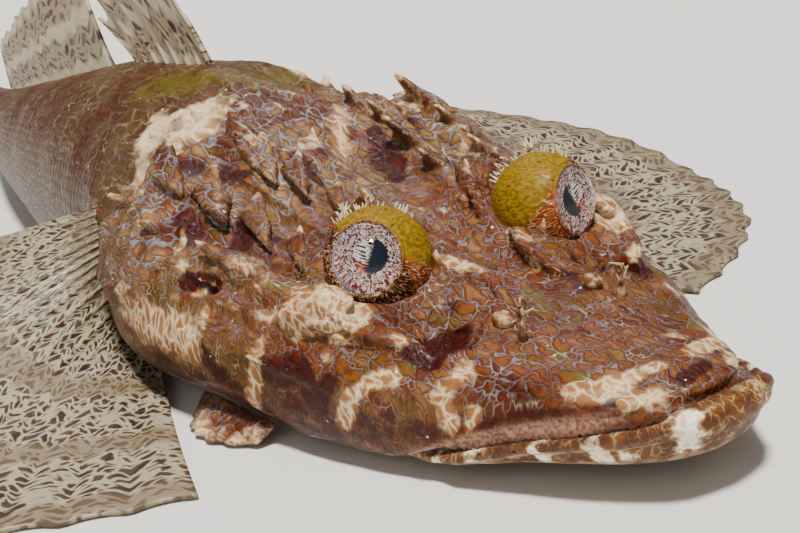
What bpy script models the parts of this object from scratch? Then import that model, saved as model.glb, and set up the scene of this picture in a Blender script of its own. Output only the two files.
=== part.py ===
"""A life-size crocodilefish (tentacled flathead) lying on its belly, as a museum model.

Body coordinates are used throughout: s runs back from the tip of the upper jaw, y runs out to the
fish's right, z runs up from the floor. The function place() lays them out in the world, where the
fish looks along +X and its tail swings gently to one side.
"""
import bmesh
import bpy
import numpy as np
from math import atan2, cos, pi, radians, sin
from mathutils import Vector

MM = 0.001
GAP = 0.35 * MM
FLOOR_GAP = 0.35 * MM

# Whole fish
SNOUT_TO_TAIL_BASE = 390 * MM
TAIL_FIN_LENGTH = 68 * MM
TAIL_SWING = radians(15)
SWING_START = 190 * MM
TORSO_END = 262 * MM
TORSO_LENGTHS = (4, 9, 15, 22, 30, 40, 52, 64, 76, 88, 100, 112)
STALK_LENGTHS = (0, 14, 28, 42, 56, 70, 84, 98, 112, 128)
CORE_HEIGHT = 22 * MM

# Mouth
LIP_RADIUS = 1.9 * MM
LIP_STATIONS = (35.5, 31, 26.5, 22, 17.5, 13.5, 10, 7, 4.5, 2.6, 0.5, -0.8, -2)
HEAD_STATIONS = (0.5, 1.3, 2.6, 4.5, 7, 10, 13.5, 17.5, 22, 26.5, 31, 35.5, 39.5, 43, 46.5, 50.5, 54.5,
                 58.5, 62.5, 66.5, 69.98)

# Eyes
EYE_BACK = 66 * MM
EYE_OUT = 20 * MM
EYE_UP = 34.5 * MM
EYE_RADIUS = 10.4 * MM

# How far the trunk's front runs in under the head's rear rim, from its face to its inner end
COLLAR_STEPS = (0.5, 8)

# Mesh fineness
TOP_STEPS = 17
LOW_STEPS = 8
EYE_SIDES = 22
REAR_RINGS = 15


def smooth_curve(pairs, unit=MM):
    """A monotone cubic through (station in mm, value) pairs, flat past both ends."""
    at = np.array([p[0] for p in pairs], float) * MM
    value = np.array([p[1] for p in pairs], float) * unit
    step = np.diff(at)
    rise = np.diff(value) / step
    slope = np.zeros(len(at))
    for i in range(1, len(at) - 1):
        if rise[i - 1] * rise[i] > 0:
            slope[i] = 2 / (1 / rise[i - 1] + 1 / rise[i])
    slope[0], slope[-1] = rise[0], rise[-1]

    def read(q):
        q = np.clip(np.asarray(q, float), at[0], at[-1])
        i = np.clip(np.searchsorted(at, q) - 1, 0, len(step) - 1)
        t = (q - at[i]) / step[i]
        a = value[i] * (1 + 2 * t) * (1 - t) ** 2 + slope[i] * step[i] * t * (1 - t) ** 2
        b = value[i + 1] * (3 - 2 * t) * t**2 + slope[i + 1] * step[i] * (t - 1) * t**2
        return a + b

    return read


# Head: half width, mid-line height, height of the widest line, and how square the upper half is
head_width = smooth_curve([(0, 0), (1, 4.2), (3, 7.6), (5, 10), (9, 13.6), (15, 17.6), (22, 21.2),
                           (30, 25.6), (38, 30.6), (50, 35.8), (62, 39.2), (75, 42.2), (90, 45.4),
                           (105, 48), (118, 49.4), (128, 49), (138, 47), (150, 43)])
head_top = smooth_curve([(0, 18.8), (3, 20.4), (8, 21.2), (14, 21.8), (22, 22.8), (35, 25), (50, 28),
                         (65, 31), (80, 35), (95, 39.8), (110, 45.4), (128, 51.8), (150, 58)])
head_keel = smooth_curve([(0, 18), (5, 17), (15, 15.4), (30, 13.5), (45, 13), (62, 14), (80, 15.5),
                          (95, 17), (110, 18.5), (128, 20), (150, 21)])
head_top_power = smooth_curve([(0, 2.2), (30, 2.2), (60, 2.5), (95, 2.4), (120, 2.2), (150, 2.1)], 1)
palate = smooth_curve([(0, 17.4), (5, 15.9), (9, 15), (15, 13.7), (22, 12.2), (30, 9.9), (38, 7.6),
                       (46, 6.8), (70, 6.6)])
cheek_low = smooth_curve([(0, 17.4), (5, 15.9), (9, 15), (15, 13.7), (22, 12.2), (30, 9.9), (38, 7.6),
                          (41, 6.8), (47, 4.6), (55, 3.6), (70, 3.0), (90, 2.2), (110, 1.4), (130, 1)])
head_end = smooth_curve([(0, 128), (8, 133), (14, 143), (17, 149), (19, 147), (22, 130), (25, 118)])

# Trunk and tail stalk
body_width = smooth_curve([(100, 38), (128, 40), (150, 39.3), (170, 36.8), (200, 31.8), (240, 24.6),
                           (280, 18), (320, 12.5), (355, 8), (390, 4.2)])
body_top = smooth_curve([(100, 39.8), (118, 46), (128, 49.6), (150, 55.8), (168, 59.6), (200, 58.6),
                         (240, 52.6), (280, 45.8), (320, 39.2), (355, 35), (390, 33)])
body_keel = smooth_curve([(100, 19), (150, 22), (200, 24), (260, 23.5), (390, 22.6)])
body_low = smooth_curve([(100, 5), (118, 3.7), (130, 2.8), (140, 1.2), (151, -0.5), (208, -0.5), (235, 2.2),
                         (280, 8), (320, 11.5), (355, 12.8), (390, 13)])
body_top_power = smooth_curve([(100, 1.9), (150, 1.9), (250, 2.0), (390, 2.2)], 1)
LOW_POWER = 3.0

# Lower jaw
jaw_width = smooth_curve([(-4.6, 0), (-4.2, 4), (-3, 7.2), (-1, 9.9), (2, 12.4), (5, 14.4), (9, 17),
                          (15, 20.2), (22, 23.2), (30, 27), (38, 30.6), (45, 31.6), (58, 33), (70, 33.6)])
jaw_low = smooth_curve([(-4.6, 13.5), (-3, 10.6), (0, 8.2), (6, 6), (14, 4.6), (24, 3.6), (40, 3.1),
                        (70, 2.9)])

# Raised lines and hollows on the top of the head, for one side: path in mm, height and half width
RIDGES = (
    ([(42, 9), (54, 11), (60, 11)], 1.3, 2.2),
    ([(78, 11.5), (95, 13), (110, 16), (124, 19)], 2.8, 2.6),
    ([(80, 27), (94, 28.5), (110, 31), (126, 33), (142, 32)], 2.8, 2.6),
    ([(114, 40), (130, 40), (146, 36)], 1.6, 2.4),
    ([(40, 24), (54, 28), (68, 32), (90, 38), (106, 42)], 2.0, 2.4),
)
HOLLOWS = (
    ((50, 20), 4.2, 6.0, 5.0),
    ((62, 0), 2.4, 16, 7.5),
    ((106, 0), 2.4, 20, 9.5),
    ((100, 21.5), 2.6, 18, 5.0),
)
EYE_MOUND = 4.2 * MM
EYE_MOUND_RADIUS = 13 * MM

# Head spines for one side: back, out, height above the skin line, length, lean from level in degrees
HEAD_SPINES = (
    (57, 12.5, 0.3, 3.2, 55), (79, 11.8, 0, 5.4, 45), (90, 12.6, 0, 5.8, 40), (102, 14.2, 0, 6.4, 38),
    (115, 17.2, 0, 7.0, 34), (82, 27.6, 0, 4.6, 38), (95, 28.6, 0, 5.2, 34), (109, 30.8, 0, 6.0, 32),
    (124, 32.8, 0, 6.4, 26), (139, 32.0, 0, 5.6, 20), (122, 40.0, 0, 4.6, 22), (138, 37.6, 0, 6.0, 14),
    (91, 36.8, 0.2, 7.4, 24), (99, 42.0, 0, 5.4, 8),
)

# Teeth of the orbit's rim: turn round the eye from straight back towards the mid line, and length
ORBIT_TEETH = ((18, 2.2), (34, 2.7), (50, 2.9), (66, 2.6))
ORBIT_RIM = 12.6 * MM

# Fleshy lobes for one side: path of back, out and lift over the skin, the half widths and how flat
LOBES = (
    (((75, 37.0, -1.6), (69, 35.2, 0.7), (63, 33.2, 1.6), (58.6, 31.6, 2.0)), (2.0, 3.2, 3.3, 1.5), 0.55),
    (((48, 27.2, -1.4), (53, 30.2, 0.4), (57.5, 32.8, 1.0), (61.5, 34.8, 1.4)), (1.5, 1.8, 1.4, 0.5), 0.6),
    (((62, 9.6, -0.3), (56, 7.6, 0.5), (50, 6.4, 0.4), (44, 7.2, -1.0)), (1.5, 1.6, 1.4, 0.8), 0.7),
)


def body_bend():
    """The centre line in plan, as tables of station, distance back, sideways drift and heading."""
    station = np.linspace(-0.02, 0.48, 501)
    turn = np.clip((station - SWING_START) / (SNOUT_TO_TAIL_BASE + TAIL_FIN_LENGTH - SWING_START), 0, 1)
    heading = TAIL_SWING * turn * turn * (3 - 2 * turn)
    step = station[1] - station[0]
    back = np.concatenate([[0], np.cumsum(np.cos(heading[:-1]) * step)]) + station[0]
    drift = np.concatenate([[0], np.cumsum(np.sin(heading[:-1]) * step)])
    return station, back, drift, heading


BEND = body_bend()


def place(s, y, z):
    """Body coordinates to world points: the fish looks along +X, its right side is -Y."""
    station, back, drift, heading = BEND
    s, y, z = np.broadcast_arrays(np.asarray(s, float), y, z)
    h = np.interp(s, station, heading)
    along = np.interp(s, station, back) + y * np.sin(h)
    across = np.interp(s, station, drift) - y * np.cos(h)
    return np.stack([-along, across, z], axis=-1)


def ridge_relief(s, y):
    """Height of the bony lines and depth of the hollows over the plain head, one side."""
    y = np.abs(y)
    s, y = np.broadcast_arrays(s, y)
    total = np.zeros(s.shape)
    for path, height, half in RIDGES:
        near = np.full(s.shape, 1e9)
        for (s0, y0), (s1, y1) in zip(path, path[1:]):
            a = np.array([s0, y0]) * MM
            d = np.array([s1, y1]) * MM - a
            t = np.clip(((s - a[0]) * d[0] + (y - a[1]) * d[1]) / (d @ d), 0, 1)
            near = np.minimum(near, np.hypot(s - a[0] - t * d[0], y - a[1] - t * d[1]))
        total = total + height * MM * np.exp(-((near / (half * MM)) ** 2))
    for (s0, y0), depth, long, wide in HOLLOWS:
        reach = ((s - s0 * MM) / (long * MM)) ** 2 + ((y - y0 * MM) / (wide * MM)) ** 2
        total = total - depth * MM * np.exp(-reach)
    reach = np.hypot(s - EYE_BACK - 2 * MM, y - EYE_OUT + 1 * MM) / EYE_MOUND_RADIUS
    return total + EYE_MOUND * np.exp(-(reach**4))


def half_section(width, top, keel, low, top_power, low_power):
    """Points of one half of a body section, from the back's mid line round the keel to the belly."""
    lean = np.sin(np.linspace(0, pi / 2, TOP_STEPS + 1))
    y_top = width * lean
    z_top = keel + (top - keel) * (1 - lean**top_power).clip(0) ** (1 / top_power)
    turn = np.linspace(0, pi / 2, LOW_STEPS + 1)[1:]
    y_low = width * np.cos(turn).clip(0) ** (2 / low_power)
    z_low = keel - (keel - low) * np.sin(turn) ** (2 / low_power)
    return np.concatenate([y_top, y_low]), np.concatenate([z_top, z_low])


def head_row(s, under_jaw):
    """Half section of the head with one station for each point of the section.

    Ahead of the jaw's hinge the cheek hangs down outside the lower jaw, and the palate is above it.
    """
    count = TOP_STEPS + LOW_STEPS + 1
    s = np.broadcast_to(s, (count,))
    y, z = np.empty(count), np.empty(count)
    for k in range(count):
        at, width, keel, low = s[k], head_width(s[k]), head_keel(s[k]), cheek_low(s[k])
        ys, zs = half_section(width, head_top(at), keel, low, head_top_power(at), LOW_POWER)
        y[k], z[k] = ys[k], zs[k]
        if k > TOP_STEPS:
            wall = jaw_half(at) + GAP
            blend = np.clip((at - 70 * MM) / (30 * MM), 0, 1) if under_jaw else 0
            turn = np.linspace(0, pi / 2, LOW_STEPS - 2)[1:]
            low_y = wall + (width - wall) * np.cos(turn).clip(0) ** 0.75
            low_z = keel - (keel - low) * np.sin(turn) ** 0.7
            roof = low if under_jaw else palate(at)
            inner_y = (wall - 0.15 * MM, wall * 0.5, 0)
            hung = (*low_y, *inner_y)[k - TOP_STEPS - 1], (*low_z, roof, roof, roof)[k - TOP_STEPS - 1]
            y[k] = hung[0] + (ys[k] - hung[0]) * blend
            z[k] = hung[1] + (zs[k] - hung[1]) * blend
    fade = np.clip(np.arange(count) / TOP_STEPS, 0, 1)
    z = z + ridge_relief(s, y) * (1 - fade**12)
    return s, y, z


def body_row(s, grow=0.0):
    """Half section of the trunk, one station for each point, grown outwards by a gap.

    The belly is cut off flat at the floor.
    """
    count = TOP_STEPS + LOW_STEPS + 1
    s = np.broadcast_to(s, (count,))
    y, z = np.empty(count), np.empty(count)
    for k in range(count):
        ys, zs = half_section(body_width(s[k]) + grow, body_top(s[k]) + grow, body_keel(s[k]),
                              body_low(s[k]) - grow, body_top_power(s[k]), LOW_POWER)
        y[k], z[k] = ys[k], zs[k]
    return s, y, np.maximum(z, 0)


def rear_rim():
    """The station where the head ends, for each point of the half section."""
    return head_end(np.linspace(0, TOP_STEPS + LOW_STEPS, TOP_STEPS + LOW_STEPS + 1) * MM)


def whole_ring(row):
    """Closes a half section into a full ring of world points."""
    s, y, z = row
    s = np.concatenate([s, s[-2:0:-1]])
    y = np.concatenate([y, -y[-2:0:-1]])
    z = np.concatenate([z, z[-2:0:-1]])
    return place(s, y, z)


def mesh_object(name, points, faces, material):
    mesh = bpy.data.meshes.new(name)
    mesh.from_pydata([tuple(p) for p in points], [], faces)
    mesh.materials.append(material)
    mesh.validate()
    mesh.shade_smooth()
    mesh.set_sharp_from_angle(angle=radians(40))
    piece = bpy.data.objects.new(name, mesh)
    bpy.context.scene.collection.objects.link(piece)
    return piece


def loft(name, rings, front, back, material):
    """A closed solid through rings of equal count, capped by fans to the front and back points."""
    count = len(rings[0])
    points = np.concatenate([*rings, [front], [back]])
    faces = []
    for i in range(len(rings) - 1):
        for j in range(count):
            a, b = i * count + j, i * count + (j + 1) % count
            faces.append((a, a + count, b + count, b))
    first, last = len(points) - 2, len(points) - 1
    tail = (len(rings) - 1) * count
    for j in range(count):
        faces.append((first, j, (j + 1) % count))
        faces.append((last, tail + (j + 1) % count, tail + j))
    return mesh_object(name, points, faces, material)


def make_material(name, colour, roughness):
    material = bpy.data.materials.new(name)
    material.use_nodes = True
    shader = material.node_tree.nodes["Principled BSDF"]
    shader.inputs["Base Color"].default_value = (*colour, 1)
    shader.inputs["Roughness"].default_value = roughness
    shader.inputs["Metallic"].default_value = 0
    material.diffuse_color = (*colour, 1)
    return material


def largest_shell(piece):
    """Keeps the largest closed surface of a mesh, which drops scraps left by a union or a cut."""
    mesh = piece.data
    parent = list(range(len(mesh.vertices)))

    def root(v):
        while parent[v] != v:
            parent[v] = parent[parent[v]]
            v = parent[v]
        return v

    for edge in mesh.edges:
        a, b = root(edge.vertices[0]), root(edge.vertices[1])
        if a != b:
            parent[a] = b
    shells = {}
    for face in mesh.polygons:
        shells.setdefault(root(face.vertices[0]), []).append(face)
    largest = max(shells.values(), key=lambda faces: sum(f.area for f in faces))
    if len(shells) > 1:
        used = sorted({v for f in largest for v in f.vertices})
        index = {v: n for n, v in enumerate(used)}
        kept = bpy.data.meshes.new(piece.name)
        kept.from_pydata([mesh.vertices[v].co.copy() for v in used], [],
                         [[index[v] for v in f.vertices] for f in largest])
        for material in mesh.materials:
            kept.materials.append(material)
        kept.shade_smooth()
        kept.set_sharp_from_angle(angle=radians(40))
        piece.data = kept
    return piece


def boolean(piece, others, operation, solver="EXACT"):
    """Joins the other solids to the piece, or cuts them from it, and removes them."""
    helpers = bpy.data.collections.new("helpers")
    bpy.context.scene.collection.children.link(helpers)
    for other in others:
        bpy.context.scene.collection.objects.unlink(other)
        helpers.objects.link(other)
    cut = piece.modifiers.new("join", "BOOLEAN")
    cut.operation = operation
    cut.operand_type = "COLLECTION"
    cut.collection = helpers
    cut.solver = solver
    bpy.context.view_layer.update()
    graph = bpy.context.evaluated_depsgraph_get()
    joined = bpy.data.meshes.new_from_object(piece.evaluated_get(graph))
    piece.modifiers.clear()
    piece.data = joined
    tidy = bmesh.new()
    tidy.from_mesh(joined)
    bmesh.ops.remove_doubles(tidy, verts=tidy.verts, dist=0.002 * MM)
    tidy.to_mesh(joined)
    tidy.free()
    for other in others:
        bpy.data.objects.remove(other)
    bpy.data.collections.remove(helpers)
    return largest_shell(piece)


def cone(foot, tip, radius, sides, material, waist=0.55):
    """A tapered spine from foot to tip, swelling a little less than a straight cone."""
    foot, tip = Vector(foot), Vector(tip)
    axis = (tip - foot).normalized()
    side = axis.orthogonal().normalized()
    other = axis.cross(side)
    points = []
    for reach, size in ((0, 1.0), (0.5, waist)):
        for k in range(sides):
            turn = 2 * pi * k / sides
            out = (side * cos(turn) + other * sin(turn)) * radius * size
            points.append(foot + (tip - foot) * reach + out)
    points += [foot, tip]
    faces = []
    for k in range(sides):
        m = (k + 1) % sides
        faces += [(2 * sides, m, k), (k, m, sides + m, sides + k), (sides + k, sides + m, 2 * sides + 1)]
    return mesh_object("spine", points, faces, material)


def tube(path, radii, sides, material, flat=1.0):
    """A closed round or flattened tube through world points with a radius at each."""
    path = [Vector(p) for p in path]
    points, faces = [], []
    up = Vector((0, 0, 1))
    for n, (here, radius) in enumerate(zip(path, radii)):
        ahead = (path[min(n + 1, len(path) - 1)] - path[max(n - 1, 0)]).normalized()
        side = ahead.cross(up)
        if side.length < 0.2:
            side = ahead.cross(Vector((1, 0, 0)))
        side.normalize()
        top = side.cross(ahead)
        for k in range(sides):
            turn = 2 * pi * k / sides
            points.append(here + side * cos(turn) * radius + top * sin(turn) * radius * flat)
    for n in range(len(path) - 1):
        for k in range(sides):
            a, b = n * sides + k, n * sides + (k + 1) % sides
            faces.append((a, a + sides, b + sides, b))
    points += [path[0], path[-1]]
    last = (len(path) - 1) * sides
    for k in range(sides):
        m = (k + 1) % sides
        faces.append((len(points) - 2, k, m))
        faces.append((len(points) - 1, last + m, last + k))
    return mesh_object("tube", points, faces, material)


def skin_height(s, y):
    """Height of the head's upper surface at a station and a distance out."""
    width, keel = head_width(s), head_keel(s)
    part = min(abs(y) / width, 1)
    power = head_top_power(s)
    plain = keel + (head_top(s) - keel) * (1 - part**power) ** (1 / power)
    return float(plain + ridge_relief(s, y) * (1 - part**12))


def head_spines(side, material):
    """The bony spines of one side, rooted deep in their ridges and leaning back."""
    made = []
    for back, out, lift, length, lean in HEAD_SPINES:
        s, y = back * MM, out * MM
        z = skin_height(s, y) + lift * MM
        reach = length * MM
        along, rise = reach * cos(radians(lean)), reach * sin(radians(lean))
        foot = place(s - 0.55 * along, side * y, z - 0.55 * rise - 0.6 * MM)
        tip = place(s + along, side * (y + 0.12 * reach), z + rise)
        made.append(cone(foot, tip, 0.36 * reach, 5, material))
    for turn, length in ORBIT_TEETH:
        s = EYE_BACK + ORBIT_RIM * cos(radians(turn))
        y = EYE_OUT - ORBIT_RIM * sin(radians(turn))
        z = skin_height(s, y)
        reach = length * MM
        made.append(cone(place(s, side * y, z - 0.8 * MM), place(s + 0.4 * reach, side * y, z + reach),
                         0.9 * MM, 5, material))
    return made


def lobes(side, material):
    """The fleshy lobes under the eye, on the cheek and along the snout's ridge."""
    made = []
    for path, widths, flat in LOBES:
        points = []
        for back, out, lift in path:
            s, y = back * MM, out * MM
            points.append(place(s, side * y, skin_height(s, y) + lift * MM))
        made.append(tube(points, [w * MM for w in widths], 8, material, flat))
    return made


def upright_tube(s, y, rises, leans, widths, sides, side, material):
    """A tube that rises from the skin at a place on the head, leaning a little as it goes."""
    z = skin_height(s, y)
    path = []
    for rise, (ahead, out) in zip(rises, leans):
        path.append(place(s - ahead * MM, side * (y + out * MM), z + rise * MM))
    return tube(path, [w * MM for w in widths], sides, material)


def nostril(side, material):
    """The tubular nostril and the tentacle in front of it."""
    bulb = upright_tube(45 * MM, 11 * MM, (-1.5, 0.6, 1.9, 2.9), ((0, 0), (0, 0), (0, 0.3), (0, 0.4)),
                        (1.5, 1.5, 2.1, 1.1), 8, side, material)
    flap = upright_tube(39.5 * MM, 9.5 * MM, (-1.5, 1.5, 4, 7), ((0, 0), (0, 0), (0.3, 0.2), (0.9, 0.5)),
                        (1.4, 1.1, 0.9, 0.35), 6, side, material)
    return [bulb, flap]


def make_head(material):
    """Skull, snout, cheeks and gill covers in one, open at the back to take the trunk."""
    rings = []
    for s in HEAD_STATIONS:
        rings.append(whole_ring(head_row(s * MM, False)))
    rim = rear_rim()
    start = 70.02 * MM
    for part in np.linspace(0, 1, REAR_RINGS):
        rings.append(whole_ring(head_row(start + (rim - start) * part, True)))
    for back in COLLAR_STEPS:
        rings.append(whole_ring(body_row(rim - back * MM, GAP + 0.1 * MM)))
    nose = place(0, 0, 18.1 * MM)
    hub = place(rim.mean() - COLLAR_STEPS[-1] * MM - GAP, 0, CORE_HEIGHT)
    head = loft("head", rings, nose, hub, material)
    joined = []
    for side in (1, -1):
        joined += head_spines(side, material) + lobes(side, material) + nostril(side, material)
    boolean(head, joined, "UNION", "MANIFOLD")
    sockets = [eyeball("socket", side, GAP, material) for side in (1, -1)]
    return boolean(head, sockets, "DIFFERENCE", "MANIFOLD")


def eye_centre(side):
    return Vector(place(EYE_BACK, side * EYE_OUT, EYE_UP))


# Where each eye looks, as forward, outward and upward shares, right eye then left
GAZE = {1: (0.60, 0.70, 0.38), -1: (0.92, 0.36, 0.14)}
PAPILLA_TURNS = (-66, -47, -29, -12, 5, 23, 42, 61)


# The eyeball turned about its gaze: degrees from the gaze, and height over the plain ball in mm
EYE_PROFILE = ((10, 0.3), (20, 0.2), (30, 0), (38, -0.2), (42, -0.1), (44.5, 0.7), (49, 0.75), (53, 0.1),
               (60, 0), (72, 0), (84, 0), (97, 0), (110, 0), (124, 0), (138, 0), (152, 0), (166, 0))


def eye_axes(side):
    """The eye's gaze and the two directions across it, sideways and upwards."""
    ahead, out, up = GAZE[side]
    gaze = Vector((ahead, -side * out, up)).normalized()
    across = gaze.cross(Vector((0, 0, 1))).normalized()
    return gaze, across, across.cross(gaze)


def eyeball(name, side, grow, material):
    centre = eye_centre(side)
    gaze, across, over = eye_axes(side)
    rings = []
    for angle, rise in EYE_PROFILE:
        reach = EYE_RADIUS + rise * MM + grow
        ring = []
        for k in range(EYE_SIDES):
            turn = 2 * pi * k / EYE_SIDES
            way = gaze * cos(radians(angle)) + (across * cos(turn) - over * sin(turn)) * sin(radians(angle))
            ring.append(centre + way * reach)
        rings.append(np.array(ring))
    front = centre + gaze * (EYE_RADIUS + 0.3 * MM + grow)
    return loft(name, rings, front, centre - gaze * (EYE_RADIUS + grow), material)


def make_eye(name, side, material):
    """The eyeball in its skin, with the raised lid round the window and the papillae above it."""
    centre = eye_centre(side)
    gaze, across, over = eye_axes(side)
    made = []
    for n, turn in enumerate(PAPILLA_TURNS):
        ring_way = over * cos(radians(turn)) + across * sin(radians(turn))
        lean = gaze * cos(radians(62)) + ring_way * sin(radians(62))
        length = (1.7 + 1.4 * (n % 3)) * MM
        made.append(cone(centre + lean * (EYE_RADIUS - 1.4 * MM), centre + lean * (EYE_RADIUS + length),
                         0.5 * MM, 5, material))
    return boolean(eyeball(name, side, 0, material), made, "UNION")


def jaw_half(s):
    """Half width of the lower jaw, which slips inside the cheek behind the corner of the mouth."""
    return jaw_width(s) if s < 38 * MM else min(jaw_width(s), head_width(s) - 0.9 * MM - GAP)


def make_jaw(material):
    """The broad lower jaw that juts past the snout, with its thick lip."""
    rings = []
    for s in (-4.4, -4, -3.2, -2, -0.7, *HEAD_STATIONS[:-1], 69.6):
        at = s * MM
        top = palate(max(at, 0)) - GAP
        width = jaw_half(at)
        turn = np.linspace(0, pi / 2, 9)
        y_low = width * np.sin(turn) ** (2 / 2.6)
        z_low = top - 1.2 * MM - (top - 1.2 * MM - jaw_low(at)) * np.cos(turn).clip(0) ** (2 / 2.6)
        y = np.concatenate([y_low, [width * 0.985, width * 0.6, 0]])[::-1]
        z = np.concatenate([z_low, [top, top, top]])[::-1]
        rings.append(place(at, np.concatenate([y, -y[-2:0:-1]]), np.concatenate([z, z[-2:0:-1]])))
    tip = place(-4.6 * MM, 0, 14.6 * MM)
    hinge = place(69.6 * MM, 0, 5 * MM)
    jaw = loft("lower_jaw", rings, tip, hinge, material)
    path, radii = [], []
    for s in LIP_STATIONS:
        at = s * MM
        radius = LIP_RADIUS * min(1.0, 0.42 + 0.58 * (36 - s) / 30)
        path.append((at, jaw_half(at) - 0.35 * radius))
        radii.append(radius)
    path += [(-2.9 * MM, 4.4 * MM), (-3.4 * MM, 0.0)]
    radii += [LIP_RADIUS * 1.05, LIP_RADIUS * 1.1]
    full = path + [(s, -y) for s, y in path[-2::-1]]
    sizes = radii + radii[-2::-1]
    line = [place(s, y, palate(max(s, 0)) - GAP - 1.05 * r) for (s, y), r in zip(full, sizes)]
    return boolean(jaw, [tube(line, sizes, 8, material)], "UNION")


def make_torso(material):
    """The trunk, whose front fits inside the head's rear rim and whose belly lies on the floor."""
    rim = rear_rim()
    rings = [whole_ring(body_row(rim - back * MM)) for back in (COLLAR_STEPS[1] - 0.4, COLLAR_STEPS[0])]
    straight = TORSO_END - GAP - TORSO_LENGTHS[-1] * MM
    for s in TORSO_LENGTHS:
        level = min(s / 40, 1)
        rings.append(whole_ring(body_row((rim + s * MM) * (1 - level) + (straight + s * MM) * level)))
    hub = place(rim.mean() - COLLAR_STEPS[1] * MM + GAP, 0, CORE_HEIGHT)
    end = place(TORSO_END - GAP, 0, CORE_HEIGHT)
    return loft("torso", rings, hub, end, material)


def make_tail(material):
    rings = [whole_ring(body_row(TORSO_END + s * MM)) for s in STALK_LENGTHS]
    root = place(TORSO_END, 0, CORE_HEIGHT)
    return loft("tail_stalk", rings, root, place(SNOUT_TO_TAIL_BASE, 0, CORE_HEIGHT), material)


def fin_solid(name, middle, normal, half, material, base=None):
    """A closed fin from a grid of mid-surface points, with half its thickness at each.

    Rows run from the root to the edge, and both faces are split into triangles alike. base gives
    the root row's own upper and lower points, where the fin meets the body face to face.
    """
    rows, cols = half.shape
    upper = middle + normal * half[..., None]
    lower = middle - normal * half[..., None]
    if base is not None:
        upper[0], lower[0] = base
    points = np.concatenate([upper.reshape(-1, 3), lower.reshape(-1, 3)])
    offset = rows * cols
    faces = []
    for i in range(rows - 1):
        for j in range(cols - 1):
            a, b = i * cols + j, i * cols + j + 1
            c, d = a + cols, b + cols
            if j % 2:
                pair = ((a, b, d), (a, d, c))
            else:
                pair = ((a, b, c), (b, d, c))
            for tri in pair:
                faces.append(tri)
                faces.append((tri[0] + offset, tri[2] + offset, tri[1] + offset))
    edge = [j for j in range(cols)]
    edge += [i * cols + cols - 1 for i in range(1, rows)]
    edge += [(rows - 1) * cols + j for j in range(cols - 2, -1, -1)]
    edge += [i * cols for i in range(rows - 2, 0, -1)]
    for n, a in enumerate(edge):
        b = edge[(n + 1) % len(edge)]
        faces.append((a, a + offset, b + offset))
        faces.append((a, b + offset, b))
    piece = mesh_object(name, points, faces, material)
    if signed_volume(piece) < 0:
        piece.data.flip_normals()
    return piece


def signed_volume(piece):
    mesh = piece.data
    mesh.calc_loop_triangles()
    total = 0.0
    for tri in mesh.loop_triangles:
        a, b, c = (mesh.vertices[v].co for v in tri.vertices)
        total += a.dot(b.cross(c))
    return total


def grid_normals(middle):
    """Unit normals of a grid of points, from its own differences."""
    down = np.gradient(middle, axis=0)
    across = np.gradient(middle, axis=1)
    normal = np.cross(down, across)
    return normal / np.linalg.norm(normal, axis=-1, keepdims=True)


def ray_thickness(rows, cols, root, ray, web, edge):
    """Half thickness: a fleshy root, rays as ridges on every other column, thinning to the edge."""
    reach = np.linspace(0, 1, rows)[:, None]
    rays = (np.arange(cols) % 2 == 0)[None, :]
    flat = np.where(rays, ray, web) * (1 - reach) + np.where(rays, edge * 1.25, edge) * reach
    return flat + (root - flat) * np.exp(-reach / 0.07)


def median_fin(name, root_line, rays, side_lean, rows, thick, material, below=False):
    """A fin on the mid line. Each ray has a station, a height and a rake back in degrees."""
    count = len(rays)
    cols = 2 * count - 1
    middle = np.empty((rows, cols, 3))
    base = np.empty((2, cols, 3))
    for j in range(cols):
        if j % 2 == 0:
            s, height, rake = rays[j // 2]
            notch = 1.0
        else:
            s0, h0, r0 = rays[j // 2]
            s1, h1, r1 = rays[j // 2 + 1]
            s, height, rake = (s0 + s1) / 2, (h0 + h1) / 2, (r0 + r1) / 2
            notch = thick["web_reach"]
        s = s * MM
        up = -1 if below else 1
        z0 = root_line(s) + up * GAP
        length = height * MM * notch
        for i in range(rows):
            t = i / (rows - 1)
            bow = t + 0.12 * t * t
            middle[i, j] = (s + sin(radians(rake)) * length * bow, side_lean * MM * t * t * height / 30,
                            z0 + up * cos(radians(rake)) * length * t)
        for n, sign in enumerate((1, -1)):
            base[n, j] = (s, sign * thick["root"], z0)
    half = ray_thickness(rows, cols, thick["root"], thick["ray"], thick["web"], thick["edge"])
    world = place(middle[..., 0], middle[..., 1], middle[..., 2])
    normal = grid_normals(world)
    if (normal[0, 0] * (place(0.2, 0.001, 0) - place(0.2, 0, 0))).sum() < 0:
        normal = -normal
    flat_base = place(base[..., 0], base[..., 1], base[..., 2])
    return fin_solid(name, world, normal, half, material, (flat_base[0], flat_base[1]))


SPINY = {"root": 1.2 * MM, "ray": 0.95 * MM, "web": 0.32 * MM, "edge": 0.3 * MM, "web_reach": 0.74}
SOFT = {"root": 1.1 * MM, "ray": 0.7 * MM, "web": 0.32 * MM, "edge": 0.28 * MM, "web_reach": 0.95}

# Station, height and rake of each spine or ray, in mm and degrees
FIRST_DORSAL = ((161, 14, 30), (166, 40, 28), (172, 50, 32), (178, 52, 36), (184, 47, 41), (190, 40, 46),
                (196, 31, 52), (202, 20, 58))
SECOND_DORSAL = tuple((222 + 9.2 * k, 37 - 1.5 * k, 32 + 1.8 * k) for k in range(12))
ANAL = tuple((238 + 8.6 * k, 3.2 + 0.55 * k, 58) for k in range(11))


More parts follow.
